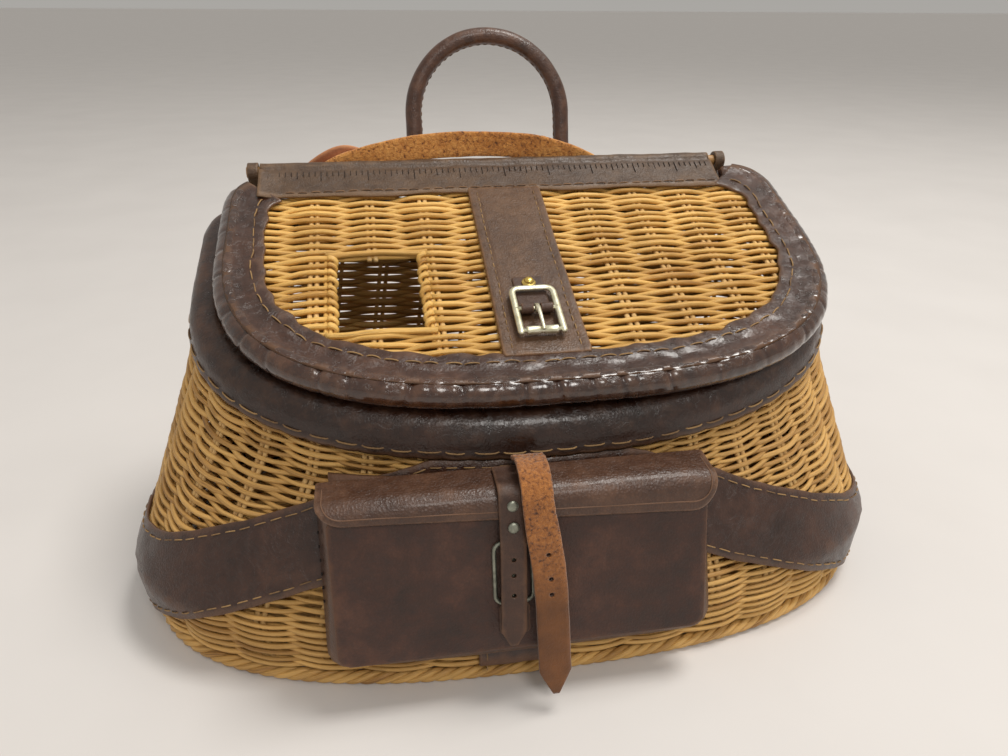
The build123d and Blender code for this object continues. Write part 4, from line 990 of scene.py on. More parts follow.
def pocket_place(u, up, out):
    out = out + 0.0012 * 0
    return front_xyz(u, up, out)


finish_piece(rounded_panel("pocket_front_leather", 80, 0, 67, 5, pocket_place, 1.8, 48, 26, puff=0.9, seed=4), POCKET, "creel",
             ("pocket_front",))

# gusset: a strip down one side, along the bottom and up the other, pinched inwards
outline = filleted([(-79.4, 65.5), (-79.4, 0.8), (79.4, 0.8), (79.4, 65.5)], 5.0, 150)
gusset = Parts()
rings = []
for u, q in outline:
    depth = 1.6
    while depth < 60:
        p = front_xyz(u, q, -depth)
        if p[1] > front_y(p[0], p[2], 4.3):
            break
        depth += 0.5
    rings.append([(u, q, -d) for d in (1.7, 1.7 + 0.25 * (depth - 1.7), 1.7 + 0.5 * (depth - 1.7), 1.7 + 0.78 * (depth - 1.7), depth)])
rings = np.array(rings)
tangent = unit(np.roll(outline, -1, 0) - np.roll(outline, 1, 0))
tangent[0], tangent[-1] = unit(outline[1] - outline[0]), unit(outline[-1] - outline[-2])
inward = np.stack([-tangent[:, 1], tangent[:, 0]], -1)
pinch = np.array([0, -3.0, -5.2, -4.6, -1.5])
outer = rings.copy()
outer[..., :2] += inward[:, None, :] * (pinch[None, :, None] + 0.15)
inner = rings.copy()
inner[..., :2] += inward[:, None, :] * (pinch[None, :, None] + 1.45)
shell = np.concatenate([outer, inner[:, ::-1]], 1)
shell = front_xyz(shell[..., 0], shell[..., 1], shell[..., 2])
gusset.grid(shell, wrap_u=False, wrap_v=True, cap_start=True, cap_end=True)
finish_piece(gusset.build("pocket_gusset_leather"), DARK, "creel", ("pocket_gusset",))
# lacing holes left open along the gusset's edge, drawn as short dark plugs: painted shade inside the open holes
gusset_hole_shade = Parts()
for flank in (-1, 1):
    for q in np.arange(8, 62, 6.2):
        p = front_xyz(flank * 84.2, q, -10.0 + 0.3 * math.sin(q))
        ring = [p + np.array([flank * d, 0, 0]) for d in (-0.5, 0.12)]
        gusset_hole_shade.rod(np.array(ring), np.broadcast_to([0, 0, 1.0], (2, 3)), 0.75, 0.75, tint=0.0, sides=8)
# near-black material: painted shade in the gusset holes, and the real dark marks of the pressed rule ticks
HOLE_SHADE_AND_TICKS, black_tree, black_shader = new_material("hole_shade_and_rule_ticks", 0.9)
black_tree.links.new(ramp(black_tree, noise_of(black_tree, place(black_tree), 400.0), [(0.3, srgb(20, 12, 9)), (0.7, srgb(34, 22, 17))]),
                     black_shader.inputs["Base Color"])
finish_piece(gusset_hole_shade.build("gusset_hole_shade"), HOLE_SHADE_AND_TICKS, "creel")

# flap: hinged behind, over the crest, with rounded front corners and a pressed line near its lip
crest_y, crest_z = front_xyz(0, 71.5, 1.4)[1:]
lip_y, lip_z = front_xyz(0, 62.0, 1.4)[1:]
low_y, low_z = front_xyz(0, 50.0, 1.5)[1:]
line_2d = filleted([(-80.6, 96.9), (crest_y, crest_z), (low_y - 0.3, low_z)], 7.5, 44)
steps = np.linalg.norm(np.diff(line_2d, axis=0), axis=1)
length_2d = np.concatenate([[0], np.cumsum(steps)])
total = length_2d[-1] - 12.0
t2 = np.gradient(line_2d, axis=0)
t2 = t2 / np.linalg.norm(t2, axis=1, keepdims=True)
n2 = np.stack([t2[:, 1], -t2[:, 0]], -1)
n2 = np.where((n2[:, 1:2] < 0) & (n2[:, 0:1] > 0), -n2, n2)
if n2[5, 1] < 0:
    n2 = -n2


def flap_place(u, down, out):
    """u across, down along the flap from its hinge, out from its outer face."""
    u, down, out = np.broadcast_arrays(np.asarray(u, float), np.asarray(down, float), np.asarray(out, float))
    # the lip hangs lower towards the right
    down = down + (1.6 + 4.4 * u / 84) * np.clip((down - total + 16) / 16, 0, 1)
    y = np.interp(down, length_2d, line_2d[:, 0])
    z = np.interp(down, length_2d, line_2d[:, 1])
    ny = np.interp(down, length_2d, n2[:, 0])
    nz = np.interp(down, length_2d, n2[:, 1])
    lift = out + 1.1
    # the crest sinks a little towards the ends, and the lip curls in there
    end = np.clip((np.abs(u) - 60) / 24, 0, 1) ** 2
    return np.stack([POCKET_X + u, y + ny * lift, z + nz * lift - 1.2 * end * np.clip(down / 12, 0, 1)], -1)


flap_piece = rounded_panel("pocket_flap_leather", 84, 0, total, 1.5, flap_place, 2.2, 60, 40, puff=0.25, seed=9, top_corner=12.5)
finish_piece(flap_piece, FLAP, "flap", ("pocket_flap",))
# pressed crease along the lip
crease = Parts()
corner = 12.5
path = filleted([(-81.2, total - 22), (-81.2, total - 3.2), (81.2, total - 3.2), (81.2, total - 22)], corner - 3, 160)
p = flap_place(path[:, 0], path[:, 1], 0.05)
n = flap_place(path[:, 0], path[:, 1], 1.05) - p
crease.rod(p, n, 0.35, 0.28, tint=0.2, sides=5)
finish_piece(crease.build("flap_crease"), STRAP_DARK, "flap")

# ---------------------------------------------------------------- straps on the front
def strap_width(s, length, width, point, blunt=3.0):
    """Full width, narrowing to a blunt point over the last length of it."""
    return np.where(s > length - point, blunt + (width - blunt) * (length - s) / point, width)


def punch(obj, centres, direction, radius):
    """Real holes through a strap."""
    cutters = Parts()
    for c in centres:
        c = np.asarray(c, float)
        p = np.stack([c - 6 * direction, c + 6 * direction])
        cutters.rod(p, np.broadcast_to([1.0, 0, 0], p.shape), radius, radius, sides=12)
    cutter = cutters.build("cutter")
    cut = obj.modifiers.new("cut", "BOOLEAN")
    cut.operation, cut.object, cut.solver = "DIFFERENCE", cutter, "EXACT"
    apply_modifiers(obj)
    bpy.data.objects.remove(cutter)


FRONT_NORMAL = np.array([0, -CL, SL])
# dark strap, riveted on the flap, its free end hanging over the buckle
upper = filleted([(-83.5, 98.0 + 1.1), tuple(front_xyz(0, 71.5 + 2.3, 3.6)[1:]), tuple(front_xyz(0, 62, 3.6)[1:]),
                  tuple(front_xyz(0, 51, 5.0)[1:]), tuple(front_xyz(0, 30, 5.2)[1:]), tuple(front_xyz(0, 5, 5.0)[1:])], 5.0, 74)
s = np.concatenate([[0], np.cumsum(np.linalg.norm(np.diff(upper, axis=0), axis=1))])
centre = -18.7 + 0.5 * np.sin(s / 28) - 0.012 * s
p = np.stack([centre, upper[:, 0], upper[:, 1]], -1)
t = np.gradient(upper, axis=0)
n = np.stack([0 * s, t[:, 1], -t[:, 0]], -1)
n = np.where(n[:, 2:3] < -0.2, -n, n)
n = np.where((n[:, 1:2] > 0.3), -n, n)
w = strap_width(s, s[-1], 11.0, 6.5, 3.4) + 0.25 * wave(s, 5)
flap_strap = ribbon("flap_strap_leather", p, n, w, 1.7, edge=0.6, across=7)
holes = [np.array([np.interp(up_, [5, 51], [centre[-1], np.interp(front_xyz(0, 51, 5)[2], upper[::-1, 1], centre[::-1])]), *front_xyz(0, up_, 5.1)[1:]])
         for up_ in (44.0, 37.0, 28.0)]
punch(flap_strap, holes, FRONT_NORMAL, 1.05)
finish_piece(flap_strap, STRAP_DARK, "flap", ("flap_strap_top", "flap_strap"))
pivot = front_xyz(0, 51, 5.0)
a, b = front_xyz(-6, 55, 5.0) / 1000, front_xyz(-6, 47, 5.0) / 1000
bpy.context.view_layer.update()
flap_strap.parent = None
flap_strap.matrix_world = Matrix.Identity(4)
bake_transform(flap_strap)
flap_strap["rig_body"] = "flap"

# tan strap: folded out from under the rim, over the flap and down past the pocket
rise = spline([(-82.0, 102.6), (-86.5, 105.4), (-93.0, 107.0), (-101.0, 105.0), tuple(front_xyz(0, 72, 7.5)[1:]),
               tuple(front_xyz(0, 62, 7.9)[1:]), tuple(front_xyz(0, 45, 7.6)[1:]), tuple(front_xyz(0, 20, 7.6)[1:]),
               tuple(front_xyz(0, 0, 7.4)[1:]), tuple(front_xyz(0, -19, 7.0)[1:])], 110)
s = np.concatenate([[0], np.cumsum(np.linalg.norm(np.diff(rise, axis=0), axis=1))])
ups = (rise[:, 1] - POCKET_Z) / CL
centre = np.interp(ups, [-19, 0, 15, 30, 42, 55, 65, 72, 80], [-2.4, -2.9, -3.3, -3.8, -4.7, -6.5, -8.0, -8.7, -8.9])
p = np.stack([centre, rise[:, 0], rise[:, 1]], -1)
t = np.gradient(rise, axis=0)
n = np.stack([0 * s, t[:, 1], -t[:, 0]], -1)
n = np.where(n[:, 2:3] < -0.2, -n, n)
n = np.where((n[:, 1:2] > 0.3), -n, n)
w = strap_width(s, s[-1], 14.0, 11.0, 3.0) + 0.3 * wave(s, 8) + np.interp(s, [0, 30, 60], [-0.8, -0.8, 0.0])
tan_strap = ribbon("closing_strap_leather", p, n, w, 2.1, edge=0.55, across=9,
                   lift=lambda at, x: 0.22 * np.sin(x * 2.1 + at) * np.clip((55 - at) / 20, 0, 1))
centre_at = lambda up_: np.interp(up_, ups[::-1], centre[::-1])
holes = [np.array([centre_at(up_) + dx, *front_xyz(0, up_, 7.6)[1:]]) for up_, dx in ((46.0, 0.4), (35.0, 0.2), (28.0, -0.1))]
punch(tan_strap, holes, FRONT_NORMAL, 1.1)
finish_piece(tan_strap, TAN, "flap", ("closing_strap_top", "closing_strap"))
tan_strap.parent = None
tan_strap.matrix_world = Matrix.Identity(4)
a, b = front_xyz(4, 76, 7.5) / 1000, front_xyz(4, 66, 7.5) / 1000
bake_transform(tan_strap)
tan_strap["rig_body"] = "flap"


def lathe(parts, centre, axis, profile, sides=20, tint=0.5):
    """Turned form: profile is (radius, height) pairs along the axis."""
    axis = unit(np.asarray(axis, float))
    side = unit(np.cross(axis, [1.0, 0.02, 0]))
    other = np.cross(axis, side)
    angle = 2 * np.pi * np.arange(sides) / sides
    rings = []
    for radius, height in profile:
        rings.append(np.asarray(centre) + axis * height
                     + radius * (side[None] * np.cos(angle)[:, None] + other[None] * np.sin(angle)[:, None]))
    parts.grid(np.stack(rings), wrap_v=True, cap_start=True, cap_end=True, tint=tint)


rivets = Parts()
for up_, out in ((67.0, 4.45), (58.0, 5.45)):
    lathe(rivets, front_xyz(-18.4 + 13.0, up_, out - 0.3), FRONT_NORMAL,
          [(2.4, 0), (2.45, 0.3), (2.2, 0.75), (1.4, 1.05), (0.3, 1.15)], 18)
finish_piece(rivets.build("flap_rivet_heads"), DULL, "flap", ("flap_rivets",))


# ---------------------------------------------------------------- buckles
def wire_path(points, normals, wide, deep, parts, closed=False, sides=10, tint=0.5):
    parts.rod(points, normals, wide, deep, tint=tint, closed=closed, sides=sides)


def rounded_frame(cx, cy, half_w, half_l, radius, count=70):
    corners = [(-half_w, -half_l), (-half_w, half_l), (half_w, half_l), (half_w, -half_l)]
    pts = []
    for (x, y), start in zip(corners, (np.pi, np.pi / 2, 0, -np.pi / 2)):
        for t in np.linspace(start + np.pi / 2 if (x, y) == corners[0] else start + 0, start, 1):
            pass
    path = []
    order = [(-1, -1, np.pi * 1.5, np.pi), (-1, 1, np.pi, np.pi / 2), (1, 1, np.pi / 2, 0), (1, -1, 0, -np.pi / 2)]
    for sx, sy, a0, a1 in order:
        for t in np.linspace(a0, a1, 8):
            path.append((cx + sx * (half_w - radius) + radius * math.cos(t), cy + sy * (half_l - radius) + radius * math.sin(t)))
    path.append(path[0])
    return even_line(path, count + 1)[:-1]


pocket_frame = Parts()
loop = rounded_frame(-18.4 + 13.0, 22 + 14.5, 8.0, 13.5, 3.4)
p = front_xyz(loop[:, 0], loop[:, 1], 1.35)
wire_path(p, np.broadcast_to(FRONT_NORMAL, p.shape), 1.0, 1.05, pocket_frame, closed=True)
finish_piece(pocket_frame.build("pocket_buckle_wire"), DULL, "creel", ("pocket_buckle_frame",))
pocket_tongue = Parts()
q = np.linspace(23.0, 52.2, 14)
p = front_xyz(-5.4 + 0 * q, q, 2.95 + 0.25 * np.sin((q - 23) / 29 * np.pi))
pocket_tongue.rod(p, np.broadcast_to(FRONT_NORMAL, p.shape), np.linspace(1.0, 0.75, 14), 0.62, sides=8)
finish_piece(pocket_tongue.build("pocket_buckle_pin"), DULL, "creel", ("pocket_buckle_tongue",))

BAR_V, BAR_W, FRONT_V = -131.0, 7.0, -145.4
frame_parts = Parts()
half_w, back_v, end_v, radius = 11.0 - 1.25, -131 + 15.5 - 1.25, FRONT_V - 2.0, 4.0
path = filleted([(-half_w, end_v), (-half_w, back_v), (half_w, back_v), (half_w, end_v)], radius, 60)
p = lid_xyz(-1.0 + path[:, 0], path[:, 1], BAR_W)
width = np.full(60, 1.6)
width[0] = width[-1] = 1.0
frame_parts.rod(p, np.broadcast_to(lid_normal, p.shape), width, 1.1, sides=12)
x = np.linspace(-10.0, 10.0, 5)
for v0, radius in ((BAR_V, 1.1), (FRONT_V, 0.95)):
    p = lid_xyz(-1.0 + x, v0, BAR_W)
    frame_parts.rod(p, np.broadcast_to(lid_normal, p.shape), radius, radius, sides=12)
finish_piece(frame_parts.build("lid_buckle_wire"), NICKEL, "lid_buckle", ("lid_buckle_frame",))
roller = Parts()
profile_x = [(-7.3, 1.35), (-7.2, 1.85), (-6.6, 1.95), (-1.2, 1.9), (-0.9, 1.6), (0.9, 1.6), (1.2, 1.9), (6.6, 1.95), (7.2, 1.85),
             (7.3, 1.35)]
lathe(roller, lid_xyz(-1.0, FRONT_V, BAR_W), (1, 0, 0), [(r_, x_) for x_, r_ in profile_x], 20)
finish_piece(roller.build("lid_buckle_roller_tube"), NICKEL, "roller", ("lid_buckle_roller",))
pin = Parts()
v = np.array([-131.0, -132.2, -134.5, -138.0, -141.5, -144.0, -145.8, -147.4])
w = np.array([8.6, 9.2, 9.75, 9.9, 9.8, 9.65, 9.6, 9.3])
path = spline(np.stack([v, w], -1), 22)
p = lid_xyz(-1.0 - 0.012 * (path[:, 0] + 131), path[:, 0], path[:, 1])
pin.rod(p, np.broadcast_to(lid_normal, p.shape), np.linspace(1.15, 0.75, 22), np.linspace(0.85, 0.6, 22), sides=9)
angle = np.linspace(0, 2 * np.pi, 19)[:-1]
p = lid_xyz(-1.0, BAR_V + 1.75 * np.cos(angle), BAR_W + 1.75 * np.sin(angle))
pin.rod(p, np.broadcast_to([1.0, 0, 0], p.shape), 0.6, 1.1, closed=True, sides=8)
finish_piece(pin.build("lid_buckle_pin"), NICKEL, "tongue", ("lid_buckle_tongue",))
soften("lid_buckle_loop", "lid_buckle_keeper", STRAP_DARK, "lid", voxel=0.45, smooth=3)
soften("pocket_buckle_loop", "pocket_buckle_keeper", STRAP_DARK, "creel", voxel=0.5, smooth=3)
stud = Parts()
lathe(stud, lid_xyz(-1.0, -110.5, 4.6), lid_normal,
      [(3.3, 0), (3.5, 0.35), (3.3, 0.85), (2.7, 1.2), (2.2, 1.35), (2.3, 1.9), (2.0, 2.5), (1.2, 2.9), (0.25, 3.02)], 22)
finish_piece(stud.build("lid_stud_head"), BRASS, "lid", ("lid_stud",))

# ---------------------------------------------------------------- roll and flange round the lid
left_end, right_end = math.radians(44.0), math.radians(48.0)
count = 980
roll_turns, roll_length = even_turns(lambda t: np.stack([*lid_ring(t, 7.0), 0 * t], -1), count, math.pi - left_end, 2 * math.pi + right_end,
                                     closed=False)
s = np.linspace(0, roll_length, count)
pleats = []
at = 10.0
while at < roll_length - 8:
    pleats.append((at, rng.uniform(0.5, 1.0), rng.uniform(1.1, 1.9), rng.uniform(-2.5, 2.5)))
    at += rng.uniform(13, 27)
sides = 24
angle = 2 * np.pi * np.arange(sides) / sides
x, v = lid_ring(roll_turns, 7.0)
in_front = np.clip((-v - 60) / 60, 0, 1)
dx, dv = np.gradient(x), np.gradient(v)
size = np.hypot(dx, dv)
out_x, out_v = dv / size, -dx / size
points = np.empty((count, sides, 3))
for j, a in enumerate(angle):
    pinch = np.zeros(count)
    for at, depth, width_, skew in pleats:
        shift = skew * math.sin(a)
        pinch += depth * np.exp(-np.abs((s - at - shift) / width_) ** 1.4)
    top_side = 0.35 + 0.65 * max(0.0, math.sin(a + 0.5))
    folds = wave(s * 3.1 + 11 * math.sin(a), 400 + j // 3, 0.10) + wave(s * 1.1, 420, 0.12)
    crimp = 0.08 * np.sin(s / 1.05 + 1.5 * np.sin(s / 9.0) + 0.6 * math.sin(a)) * (0.35 + 0.65 * in_front) * top_side
    r_ = 7.0 * (1 - 0.17 * np.minimum(pinch, 1.1) * top_side * (0.35 + 0.65 * in_front)) + folds + crimp - 0.1
    r_ = r_ * np.interp(s, [0, 2, 12, roll_length - 12, roll_length - 2, roll_length], [0.3, 0.7, 1, 1, 0.7, 0.3])
    c_, s_ = math.cos(a), math.sin(a)
    points[:, j] = lid_xyz(x + out_x * r_ * c_, v + out_v * r_ * c_, -3.0 + r_ * s_)
roll_piece = Parts()
roll_piece.grid(points, wrap_u=False, wrap_v=True, cap_start=True, cap_end=True)
finish_piece(roll_piece.build("lid_roll_leather"), GLOSSY, "lid", ("lid_roll",))

# flange: starts on the roll and lies flat on the weave, its inner edge wavy
count = 560
flange_turns, flange_length = even_turns(lambda t: np.stack([*lid_ring(t, 16.0), 0 * t], -1), count, math.pi - 0.74,
                                         2 * math.pi + 0.80, closed=False)
s = np.linspace(0, flange_length, count)
inner_edge = 24.6 + 0.9 * wave(s * 1.3, 51) + 0.5 * np.sin(s / 3.3 + np.sin(s / 17))
columns = [(5.5, 3.9), (8.5, 3.55), (11.5, 3.0), (13.8, 2.55), (15.0, 2.5), (17.5, 2.75), (20.0, 2.7)]
rings = []
for index, (inset, w) in enumerate(columns):
    x, v = lid_ring(flange_turns, inset)
    ripple = wave(s * 1.7, 500 + index, 0.28) + (0.22 * np.sin(s / 2.6 + index * 0.4 + np.sin(s / 23) * 2) if index > 3 else 0)
    rings.append(lid_xyz(x, v, w + ripple * (0.4 if index < 2 else 1.0)))
for inset, w in ((-1.0, 2.75), (-0.25, 2.45), (0.0, 1.7), (-0.4, 1.15)):
    x, v = lid_ring(flange_turns, inner_edge + inset)
    rings.append(lid_xyz(x, v, w + wave(s * 1.7, 507, 0.22)))
for inset, w in ((20.0, 1.1), (14.0, 1.1), (8.0, 2.2)):
    x, v = lid_ring(flange_turns, inset)
    rings.append(lid_xyz(x, v, w))
flange = Parts()
flange.grid(np.stack(rings, 1), wrap_u=False, wrap_v=True, cap_start=True, cap_end=True)
finish_piece(flange.build("lid_flange_leather"), FLANGE, "lid", ("lid_flange",))
flange_seam = Parts()
x, v = lid_ring(flange_turns, 18.6 + 0.7 * wave(s * 1.1, 61))
seam_p = lid_xyz(x, v, 2.95)
keep = slice(6, count - 6)
stitches(flange_seam, seam_p[keep], np.broadcast_to(lid_normal, seam_p[keep].shape), 8.5, share=0.93, radius=0.36, sink=0.45,
         seed=14, side=0.3)
finish_piece(flange_seam.build("lid_flange_stitching"), THREAD, "lid")


# ---------------------------------------------------------------- lid band and hinge strip
def lid_place(u, v, out):
    return lid_xyz(u, v, out)


def band_place(u, v, out):
    """The middle band: pulled in a little between its ends, and dented by its seams."""
    v = -np.asarray(v, float)
    narrow = 1 - 0.02 * np.sin(np.pi * (-v - 28) / 126)
    dent = -0.35 * np.exp(-((np.abs(u) - 15.5) / 0.8) ** 2)
    ripple = 0.22 * np.sin(v / 9.0 + u / 30) * np.clip(np.abs(u) / 20, 0, 1)
    return lid_xyz(u * narrow, v, 3.3 + out + np.where(np.asarray(out) > -0.5, dent + ripple, 0))


finish_piece(rounded_panel("lid_band_leather", 20, 26.0, 156.5, 0.6, band_place, 2.2, 40, 44, puff=0.1, seed=6), BANDED, "lid",
             ("lid_band",))
band_seam = Parts()
for flank in (-1, 1):
    v = np.linspace(-30, -153, 90)
    x = flank * (15.6 + 0.25 * wave(v, 71 + flank)) * (1 - 0.02 * np.sin(np.pi * (-v - 28) / 126))
    p = lid_xyz(x, v, 3.1)
    stitches(band_seam, p, np.broadcast_to(lid_normal, p.shape), 5.0, share=0.8, radius=0.32, sink=0.35, seed=20 + flank)
finish_piece(band_seam.build("lid_band_stitching"), THREAD, "lid")

# hinge strip: flat on the weave, then rolled round the cane
angles = np.radians(np.linspace(152, -200, 26))
flat = [(-28.6, 2.3), (-24, 2.35), (-20, 2.5), (-16, 2.7), (-12, 3.1), (-8.5, 3.5), (-6.2, 3.75)]
outer_line = flat + [(4.7 * math.cos(a_), 4.7 * math.sin(a_)) for a_ in angles if math.degrees(a_) > -170 and math.degrees(a_) < 140]
inner_line = [(3.25 * math.cos(a_), 3.25 * math.sin(a_)) for a_ in angles[::-1] if math.degrees(a_) > -170 and math.degrees(a_) < 140]
inner_line += [(-6.2, 1.9), (-12, 1.25), (-20, 1.1), (-28.3, 1.1)]
columns = 180
xs = np.linspace(-131.5, 128.0, columns)
grid = []
for index, (v0, w0) in enumerate(outer_line + inner_line):
    outer_face = index < len(outer_line)
    ripple = 0.25 * wave(xs * 1.2, 210 + index // 2) if outer_face else 0 * xs
    scallop = 0.75 * np.sin(xs / 9.5 + 0.9 * np.sin(xs / 31)) + 0.5 * wave(xs, 77)
    vv = v0 + (scallop if v0 < -27 else 0.35 * scallop * (v0 < -8))
    dip = -0.3 * np.exp(-((v0 + 24) / 1.2) ** 2)
    corner = np.clip((-118 - xs) / 12, 0, 1) ** 2
    grid.append(lid_xyz(xs, vv, w0 + ripple + dip + 2.1 * corner * (v0 < -5)))
strip = Parts()
strip.grid(np.stack(grid, 1), wrap_u=False, wrap_v=True, cap_start=True, cap_end=True)
finish_piece(strip.build("hinge_strip_leather"), FADED, "lid", ("hinge_strip",))
strip_seam = Parts()
x = np.linspace(-118, 126, 150)
p = lid_xyz(x, -24.4 + 0.45 * np.sin(x / 7.5 + 0.8 * np.sin(x / 31)) * 0.4 + 0.3 * wave(x, 78), 2.4)
stitches(strip_seam, p, np.broadcast_to(lid_normal, p.shape), 6.5, share=0.86, radius=0.32, sink=0.35, seed=31)
finish_piece(strip_seam.build("hinge_strip_stitching"), THREAD_DARK, "lid")

# inch rule pressed into the strip: an eighth of an inch between ticks
rule = Parts()
for k in range(0, 83):
    x = -124.0 + k * 3.175
    if x > 126:
        break
    long_ = 8.0 if k % 8 == 0 else 5.5 if k % 4 == 0 else 3.6
    v = np.linspace(-7.2, -7.2 - long_, 5)
    w = np.interp(v, [-28.6, -24, -20, -16, -12, -8.5, -6.2], [2.3, 2.35, 2.5, 2.7, 3.1, 3.5, 3.75]) + 0.08
    p = lid_xyz(x + 0 * v, v, w + 0.2)
    rule.rod(p, np.broadcast_to(lid_normal, p.shape), 0.2, 0.26, tint=0.0, sides=4)
finish_piece(rule.build("rule_ticks"), HOLE_SHADE_AND_TICKS, "lid")
soften("hinge_back", "hinge_back_leather", FADED, "creel", voxel=0.9, smooth=3, rough=0.2)
soften("hinge_tabs", "hinge_tab_leather", FADED, "creel", voxel=0.6, smooth=3)

# ---------------------------------------------------------------- carrying handle
lean_h = math.radians(13.0)


def handle_xyz(x, q, out):
    x, q, out = np.broadcast_arrays(np.asarray(x, float), np.asarray(q, float), np.asarray(out, float))
    return np.stack([4.5 + x, 97 + q * math.sin(lean_h) - out * math.cos(lean_h),
                     148 + q * math.cos(lean_h) + out * math.sin(lean_h)], -1)


t = np.linspace(np.pi, 0, 70)
path = [(-43.5, q) for q in np.linspace(2.5, 69, 34)] + [(43.5 * math.cos(a_), 70 + 43.5 * math.sin(a_)) for a_ in t]
path += [(43.5, q) for q in np.linspace(69, 2.5, 34)]
path = even_line(path, 190)
s = np.concatenate([[0], np.cumsum(np.linalg.norm(np.diff(path, axis=0), axis=1))])
tangent = np.gradient(path, axis=0)
tangent = tangent / np.linalg.norm(tangent, axis=1, keepdims=True)
outward = np.stack([-tangent[:, 1], tangent[:, 0]], -1)
sides = 20
angle = 2 * np.pi * np.arange(sides) / sides
grid = np.empty((len(path), sides, 3))
for j, a_ in enumerate(angle):
    seam_dip = -0.45 * math.exp(-((math.pi - abs(a_ - math.pi) - math.pi) / 0.22) ** 2) if False else 0.0
    inner = abs((a_ - np.pi + np.pi) % (2 * np.pi) - np.pi)
    dip = -0.55 * math.exp(-((inner) / 0.20) ** 2)
    r_ = 4.7 + 0.12 * wave(s, 600 + j // 4) + dip * -1.0 * 0.0 + (-0.5 * math.exp(-((abs(a_ - np.pi)) / 0.2) ** 2))
    r_ = r_ * np.interp(s, [0, 6, 14, s[-1] - 14, s[-1] - 6, s[-1]], [0.98, 0.96, 1, 1, 0.96, 0.98])
    c_, s_ = math.cos(a_), math.sin(a_)
    grid[:, j] = handle_xyz(path[:, 0] + outward[:, 0] * r_ * c_, path[:, 1] + outward[:, 1] * r_ * c_, r_ * s_)
handle = Parts()
handle.grid(grid, wrap_v=True, cap_start=True, cap_end=True)
for flank in (-1, 1):
    rings = []
    for x_, r_ in ((-4.4, 2.15), (-4.45, 4.9), (-3.6, 5.45), (0, 5.5), (3.6, 5.45), (4.45, 4.9), (4.4, 2.15)):
        a_ = 2 * np.pi * np.arange(24) / 24
        rings.append(np.stack([4.5 + flank * 43.5 + x_ + 0 * a_, 97 + r_ * np.cos(a_), 148 + r_ * np.sin(a_)], -1))
    handle.grid(np.stack(rings), wrap_u=True, wrap_v=True)
finish_piece(handle.build("handle_leather_roll"), HANDLE, "handle", ("handle",))
handle_seam = Parts()
keep = slice(8, len(path) - 8)
inner_line = handle_xyz(path[:, 0] - outward[:, 0] * 4.35, path[:, 1] - outward[:, 1] * 4.35, 0)[keep]
inner_normal = (handle_xyz(path[:, 0] - outward[:, 0] * 5, path[:, 1] - outward[:, 1] * 5, 0)
                - handle_xyz(path[:, 0], path[:, 1], 0))[keep]
stitches(handle_seam, inner_line, inner_normal, 4.2, share=0.7, radius=0.3, sink=0.3, seed=44)
finish_piece(handle_seam.build("handle_stitching"), THREAD_DARK, "handle")
soften("handle_lugs", "handle_lug_leather", HANDLE, "creel", voxel=0.6, smooth=3)
pins = Parts()
for flank in (-1, 1):
    lathe(pins, (4.5 + flank * 43.5, 97, 148), (1, 0, 0),
          [(1.2, -7.9), (2.4, -7.7), (2.6, -7.35), (1.98, -7.3), (1.98, 7.3), (2.6, 7.35), (2.4, 7.7), (1.2, 7.9)], 18)
finish_piece(pins.build("handle_pin_heads"), BRASS, "creel", ("handle_pins",))

# ---------------------------------------------------------------- shoulder strap behind the lid
strap_parts = Parts()
front_line = spline([(-107, 156), (-104, 172), (-84, 190), (-46, 200), (-6, 202.5), (34, 199), (66, 187), (88, 168), (100, 148)], 120)
s = np.concatenate([[0], np.cumsum(np.linalg.norm(np.diff(front_line, axis=0), axis=1))])
p = np.stack([front_line[:, 0], 99.1 + 0.15 * wave(s, 91), front_line[:, 1]], -1)
lean_strap = np.stack([0 * s, -np.ones_like(s), 0.10 * np.sin(s / 40)], -1)
ribbon("front", p, lean_strap, 14.0 + 0.4 * wave(s, 92), 1.8, edge=0.5, across=9, parts=strap_parts,
       lift=lambda at, x: 0.18 * np.sin(x * 1.7 + at * 0.9))
finish_piece(strap_parts.build("shoulder_strap_suede"), SHOULDER, "creel", ("shoulder_strap",))
back_parts = Parts()
back_line = spline([(-107, 156), (-106, 172), (-99, 186), (-79, 196), (-64, 184), (-57, 148)], 90)
s = np.concatenate([[0], np.cumsum(np.linalg.norm(np.diff(back_line, axis=0), axis=1))])
p = np.stack([back_line[:, 0], 100.9 + 0.9 * np.sin(np.pi * s / s[-1]), back_line[:, 1]], -1)
ribbon("back", p, np.broadcast_to([0, -1.0, 0], p.shape), 14.0, 1.8, edge=0.5, across=9, parts=back_parts)
a_ = np.linspace(0, 2 * np.pi, 25)[:-1]
lathe(back_parts, (-107, 98.2, 156), (0, 1, 0), [(6.4, 0.0), (7.0, 0.7), (7.0, 3.0), (6.4, 3.7)], 24)
finish_piece(back_parts.build("shoulder_strap_fold"), SMOOTH_TAN, "creel")
soften("shoulder_tail", "shoulder_tail_suede", SHOULDER, "creel", voxel=0.5, smooth=3)
soften("strap_lugs", "strap_lug_leather", SMOOTH_TAN, "creel", voxel=0.7, smooth=3)
strap_rivets = Parts()
for x_, layer in ((-57.0, 1), (100.0, 0)):
    lathe(strap_rivets, (x_, 97.8 + layer * 2.2 + 1.7, 148), (0, 1, 0), [(2.8, 0), (2.85, 0.3), (2.5, 0.8), (1.5, 1.25), (0.3, 1.35)], 18)
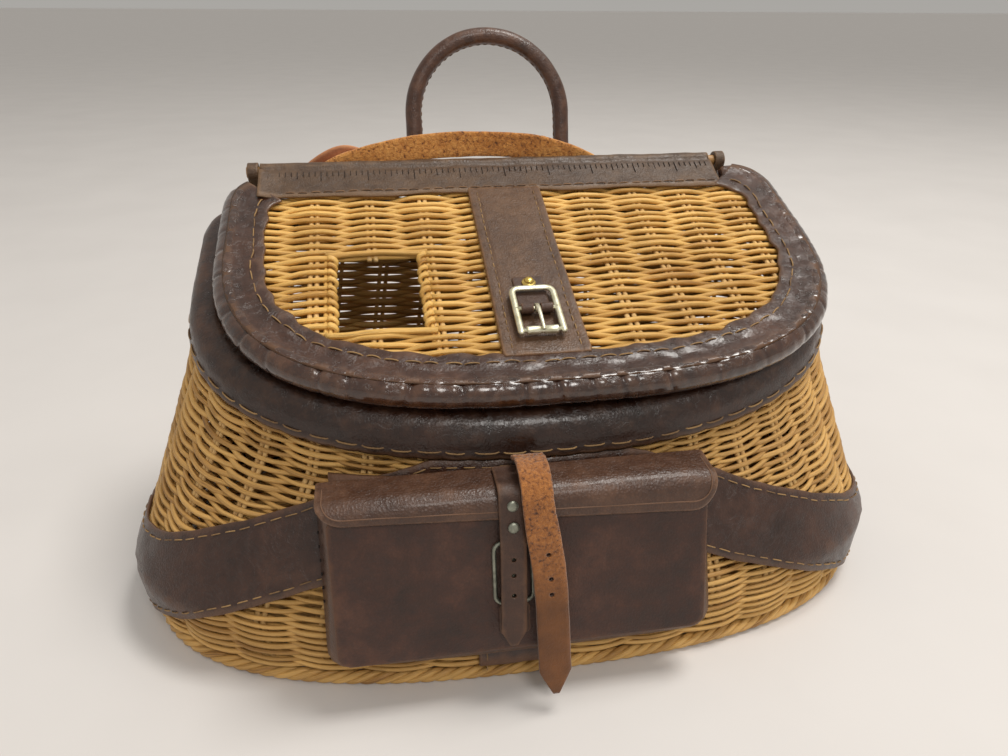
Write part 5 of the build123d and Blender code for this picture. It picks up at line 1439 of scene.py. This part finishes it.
finish_piece(strap_rivets.build("strap_rivet_heads"), IRON, "creel", ("strap_rivets",))

# ---------------------------------------------------------------- CAD nodes that stay
for node, material in (("rim_hoop", CANE), ("hinge_cane", CANE)):
    obj = frame["nodes"][node]
    obj.data.materials.clear()
    obj.data.materials.append(material)

# ---------------------------------------------------------------- floor and light
floor_mesh = bpy.data.meshes.new("floor")
floor_mesh.from_pydata([(-60, -60, 0), (60, -60, 0), (60, 60, 0), (-60, 60, 0)], [], [(0, 1, 2, 3)])
floor = bpy.data.objects.new("floor", floor_mesh)
bpy.context.scene.collection.objects.link(floor)
FLOOR, tree, shader = new_material("pale_floor", 0.65)
speck = noise_of(tree, place(tree), 9.0, 3.0, 0.5)
tree.links.new(ramp(tree, speck, [(0.3, srgb(207, 203, 200)), (0.7, srgb(211, 207, 204))]), shader.inputs["Base Color"])
floor.data.materials.append(FLOOR)

world = bpy.data.worlds.new("studio")
bpy.context.scene.world = world
world.use_nodes = True
world.node_tree.nodes["Background"].inputs[0].default_value = (1.0, 0.965, 0.91, 1.0)
shown = make(world.node_tree, "ShaderNodeLightPath").outputs["Is Camera Ray"]
world.node_tree.links.new(math_of(world.node_tree, "SUBTRACT", 0.52, math_of(world.node_tree, "MULTIPLY", shown, 0.12)),
                          world.node_tree.nodes["Background"].inputs[1])


def lamp(name, place_at, aim, size, power, colour=(1, 1, 1)):
    data = bpy.data.lights.new(name, "AREA")
    data.shape, data.size, data.energy, data.color = "SQUARE", size, power, colour
    obj = bpy.data.objects.new(name, data)
    bpy.context.scene.collection.objects.link(obj)
    obj.location = place_at
    obj.rotation_euler = (Vector(aim) - Vector(place_at)).to_track_quat("-Z", "Y").to_euler()
    return obj


lamp("top_light", (0.75, 0.05, 2.1), (0.0, 0.0, 0.1), 0.8, 33.0, (1.0, 0.975, 0.93))
lamp("front_light", (0.2, -1.3, 1.5), (0.0, 0.0, 0.1), 0.48, 9.5, (1.0, 0.97, 0.93))

bpy.context.scene.view_settings.view_transform = "Standard"
bpy.context.view_layer.update()
